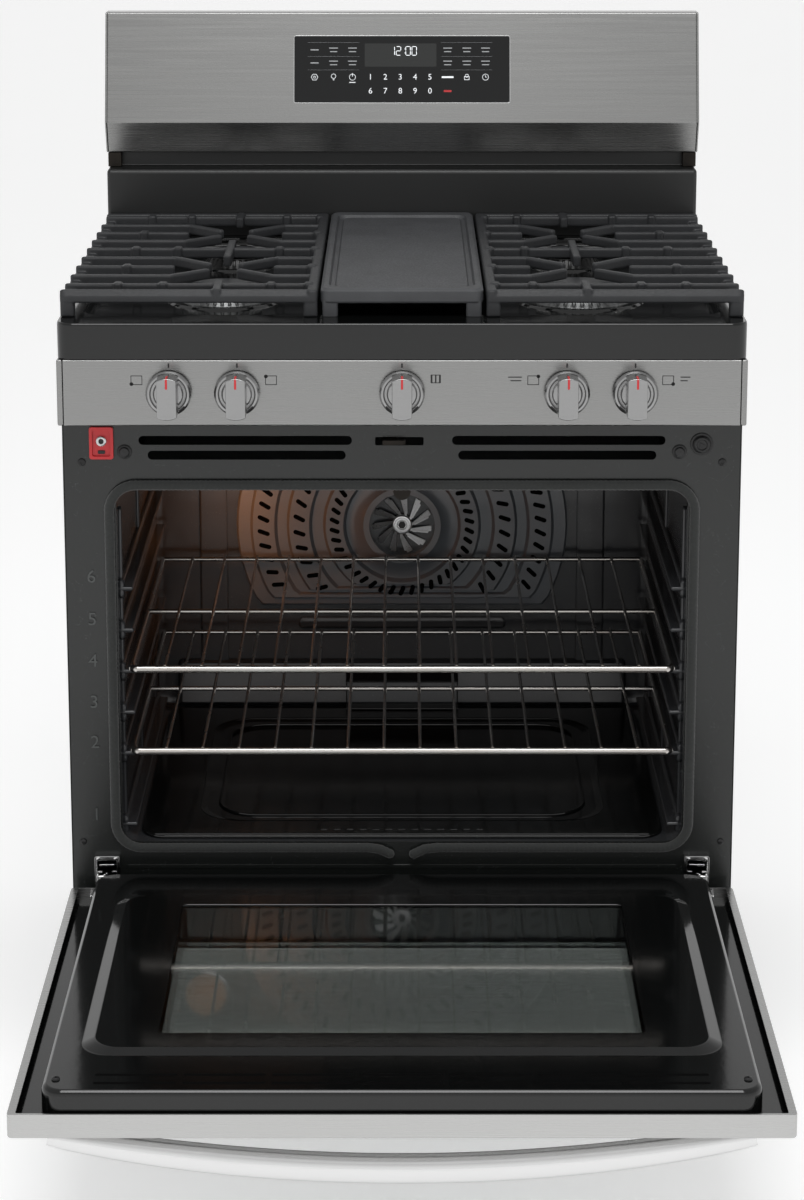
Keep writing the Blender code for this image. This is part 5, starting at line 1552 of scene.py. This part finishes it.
def coat_frame_nodes():
    """Give every CAD node the finish its record asks for; those without a finished piece stay in
    sight."""
    for part in frame["record"]["subparts"]:
        kept = frame["nodes"][part["node"]]
        kept.data.materials.clear()
        heated = part["node"] in ("bake_burner", "broil_burner")
        kept.data.materials.append(heat_darkened_steel() if heated
                                   else SLOT_FINISH[part["material_slot"]]())


# ---------------------------------------------------------------- operators and sidebar

class GAS_RANGE_OT_frame(bpy.types.Operator):
    """Coat the parts carried over from the CAD frame: chassis, gas pipes, stems and drawer tray"""
    bl_idname = "gas_range.frame"
    bl_label = "Frame finishes"

    def execute(self, context):
        coat_frame_nodes()
        return {"FINISHED"}


class GAS_RANGE_OT_cabinet(bpy.types.Operator):
    """Build the side sheets, the rear sheet with its cover and louvres, and the levelling feet"""
    bl_idname = "gas_range.cabinet"
    bl_label = "Cabinet"

    def execute(self, context):
        build_cabinet()
        return {"FINISHED"}


class GAS_RANGE_OT_backguard(bpy.types.Operator):
    """Build the folded backguard shell, the black riser under it and their brackets"""
    bl_idname = "gas_range.backguard"
    bl_label = "Backguard"

    def execute(self, context):
        build_backguard()
        return {"FINISHED"}


class GAS_RANGE_OT_display(bpy.types.Operator):
    """Build the black glass display with its clock, keys and marks"""
    bl_idname = "gas_range.display"
    bl_label = "Display"

    def execute(self, context):
        build_display()
        return {"FINISHED"}


class GAS_RANGE_OT_oven(bpy.types.Operator):
    """Build the oven's front frame, cavity, ledges, floor tray and rack numbers"""
    bl_idname = "gas_range.oven"
    bl_label = "Oven"

    def execute(self, context):
        build_oven()
        return {"FINISHED"}


class GAS_RANGE_OT_gasket(bpy.types.Operator):
    """Build the woven rope round the oven mouth"""
    bl_idname = "gas_range.gasket"
    bl_label = "Door gasket"

    def execute(self, context):
        build_gasket()
        return {"FINISHED"}


class GAS_RANGE_OT_fittings(bpy.types.Operator):
    """Build the probe socket, bumpers, screws, switch, latch hook and hinge claws"""
    bl_idname = "gas_range.fittings"
    bl_label = "Front fittings"

    def execute(self, context):
        build_front_fittings()
        return {"FINISHED"}


class GAS_RANGE_OT_fan(bpy.types.Operator):
    """Build the fan baffle with its slots painted on as black shade, and the star fan behind it"""
    bl_idname = "gas_range.fan"
    bl_label = "Fan and baffle"

    def execute(self, context):
        build_fan()
        return {"FINISHED"}


class GAS_RANGE_OT_lamp(bpy.types.Operator):
    """Build the oven lamp and the temperature sensor"""
    bl_idname = "gas_range.lamp"
    bl_label = "Oven lamp"

    def execute(self, context):
        build_lamp()
        return {"FINISHED"}


class GAS_RANGE_OT_racks(bpy.types.Operator):
    """Build both wire racks"""
    bl_idname = "gas_range.racks"
    bl_label = "Racks"

    def execute(self, context):
        build_racks()
        return {"FINISHED"}


class GAS_RANGE_OT_hob(bpy.types.Operator):
    """Build the enamelled hob pan"""
    bl_idname = "gas_range.hob"
    bl_label = "Hob"

    def execute(self, context):
        build_cooktop()
        return {"FINISHED"}


class GAS_RANGE_OT_burners(bpy.types.Operator):
    """Build the five burner heads, caps and igniters"""
    bl_idname = "gas_range.burners"
    bl_label = "Burners"

    def execute(self, context):
        build_burners()
        return {"FINISHED"}


class GAS_RANGE_OT_grates(bpy.types.Operator):
    """Build the left and right cast grates"""
    bl_idname = "gas_range.grates"
    bl_label = "Grates"

    def execute(self, context):
        build_grates()
        return {"FINISHED"}


class GAS_RANGE_OT_griddle(bpy.types.Operator):
    """Build the cast griddle between the grates"""
    bl_idname = "gas_range.griddle"
    bl_label = "Griddle"

    def execute(self, context):
        build_griddle()
        return {"FINISHED"}


class GAS_RANGE_OT_control_panel(bpy.types.Operator):
    """Build the control panel, its end caps and printed icons"""
    bl_idname = "gas_range.control_panel"
    bl_label = "Control panel"

    def execute(self, context):
        build_control_panel()
        return {"FINISHED"}


class GAS_RANGE_OT_knobs(bpy.types.Operator):
    """Build the five burner knobs"""
    bl_idname = "gas_range.knobs"
    bl_label = "Knobs"

    def execute(self, context):
        build_knobs()
        return {"FINISHED"}


class GAS_RANGE_OT_door(bpy.types.Operator):
    """Build the open door's skin, liner, panes, handle and hinge plates"""
    bl_idname = "gas_range.door"
    bl_label = "Oven door"

    def execute(self, context):
        build_door()
        return {"FINISHED"}


class GAS_RANGE_OT_drawer(bpy.types.Operator):
    """Build the storage drawer's front"""
    bl_idname = "gas_range.drawer"
    bl_label = "Drawer front"

    def execute(self, context):
        build_drawer()
        return {"FINISHED"}


class GAS_RANGE_OT_stage(bpy.types.Operator):
    """Build the floor, the lights and the camera"""
    bl_idname = "gas_range.stage"
    bl_label = "Stage"

    def execute(self, context):
        build_stage()
        return {"FINISHED"}


OPERATORS = (GAS_RANGE_OT_frame, GAS_RANGE_OT_cabinet, GAS_RANGE_OT_backguard,
             GAS_RANGE_OT_display, GAS_RANGE_OT_oven, GAS_RANGE_OT_gasket, GAS_RANGE_OT_fittings,
             GAS_RANGE_OT_fan, GAS_RANGE_OT_lamp, GAS_RANGE_OT_racks, GAS_RANGE_OT_hob,
             GAS_RANGE_OT_burners, GAS_RANGE_OT_grates, GAS_RANGE_OT_griddle,
             GAS_RANGE_OT_control_panel, GAS_RANGE_OT_knobs, GAS_RANGE_OT_door,
             GAS_RANGE_OT_drawer, GAS_RANGE_OT_stage)


class GAS_RANGE_PT_sidebar(bpy.types.Panel):
    """Sizes, colours and build steps of the gas range"""
    bl_idname = "GAS_RANGE_PT_sidebar"
    bl_label = "Gas Range"
    bl_space_type = "VIEW_3D"
    bl_region_type = "UI"
    bl_category = "Gas Range"

    def draw(self, context):
        for group in (context.scene.range_sizes, context.scene.range_colours):
            box = self.layout.box()
            for name in group.__annotations__:
                box.prop(group, name)
        column = self.layout.column(align=True)
        for step in OPERATORS:
            column.operator(step.bl_idname)


CLASSES = (RangeSizes, RangeColours, *OPERATORS, GAS_RANGE_PT_sidebar)


def register():
    for made in CLASSES:
        bpy.utils.register_class(made)
    bpy.types.Scene.range_sizes = PointerProperty(type=RangeSizes)
    bpy.types.Scene.range_colours = PointerProperty(type=RangeColours)


def unregister():
    del bpy.types.Scene.range_sizes
    del bpy.types.Scene.range_colours
    for made in reversed(CLASSES):
        bpy.utils.unregister_class(made)


def main():
    register()
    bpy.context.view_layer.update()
    for step in OPERATORS:
        family, name = step.bl_idname.split(".")
        getattr(getattr(bpy.ops, family), name)()


if __name__ == "__main__":
    main()
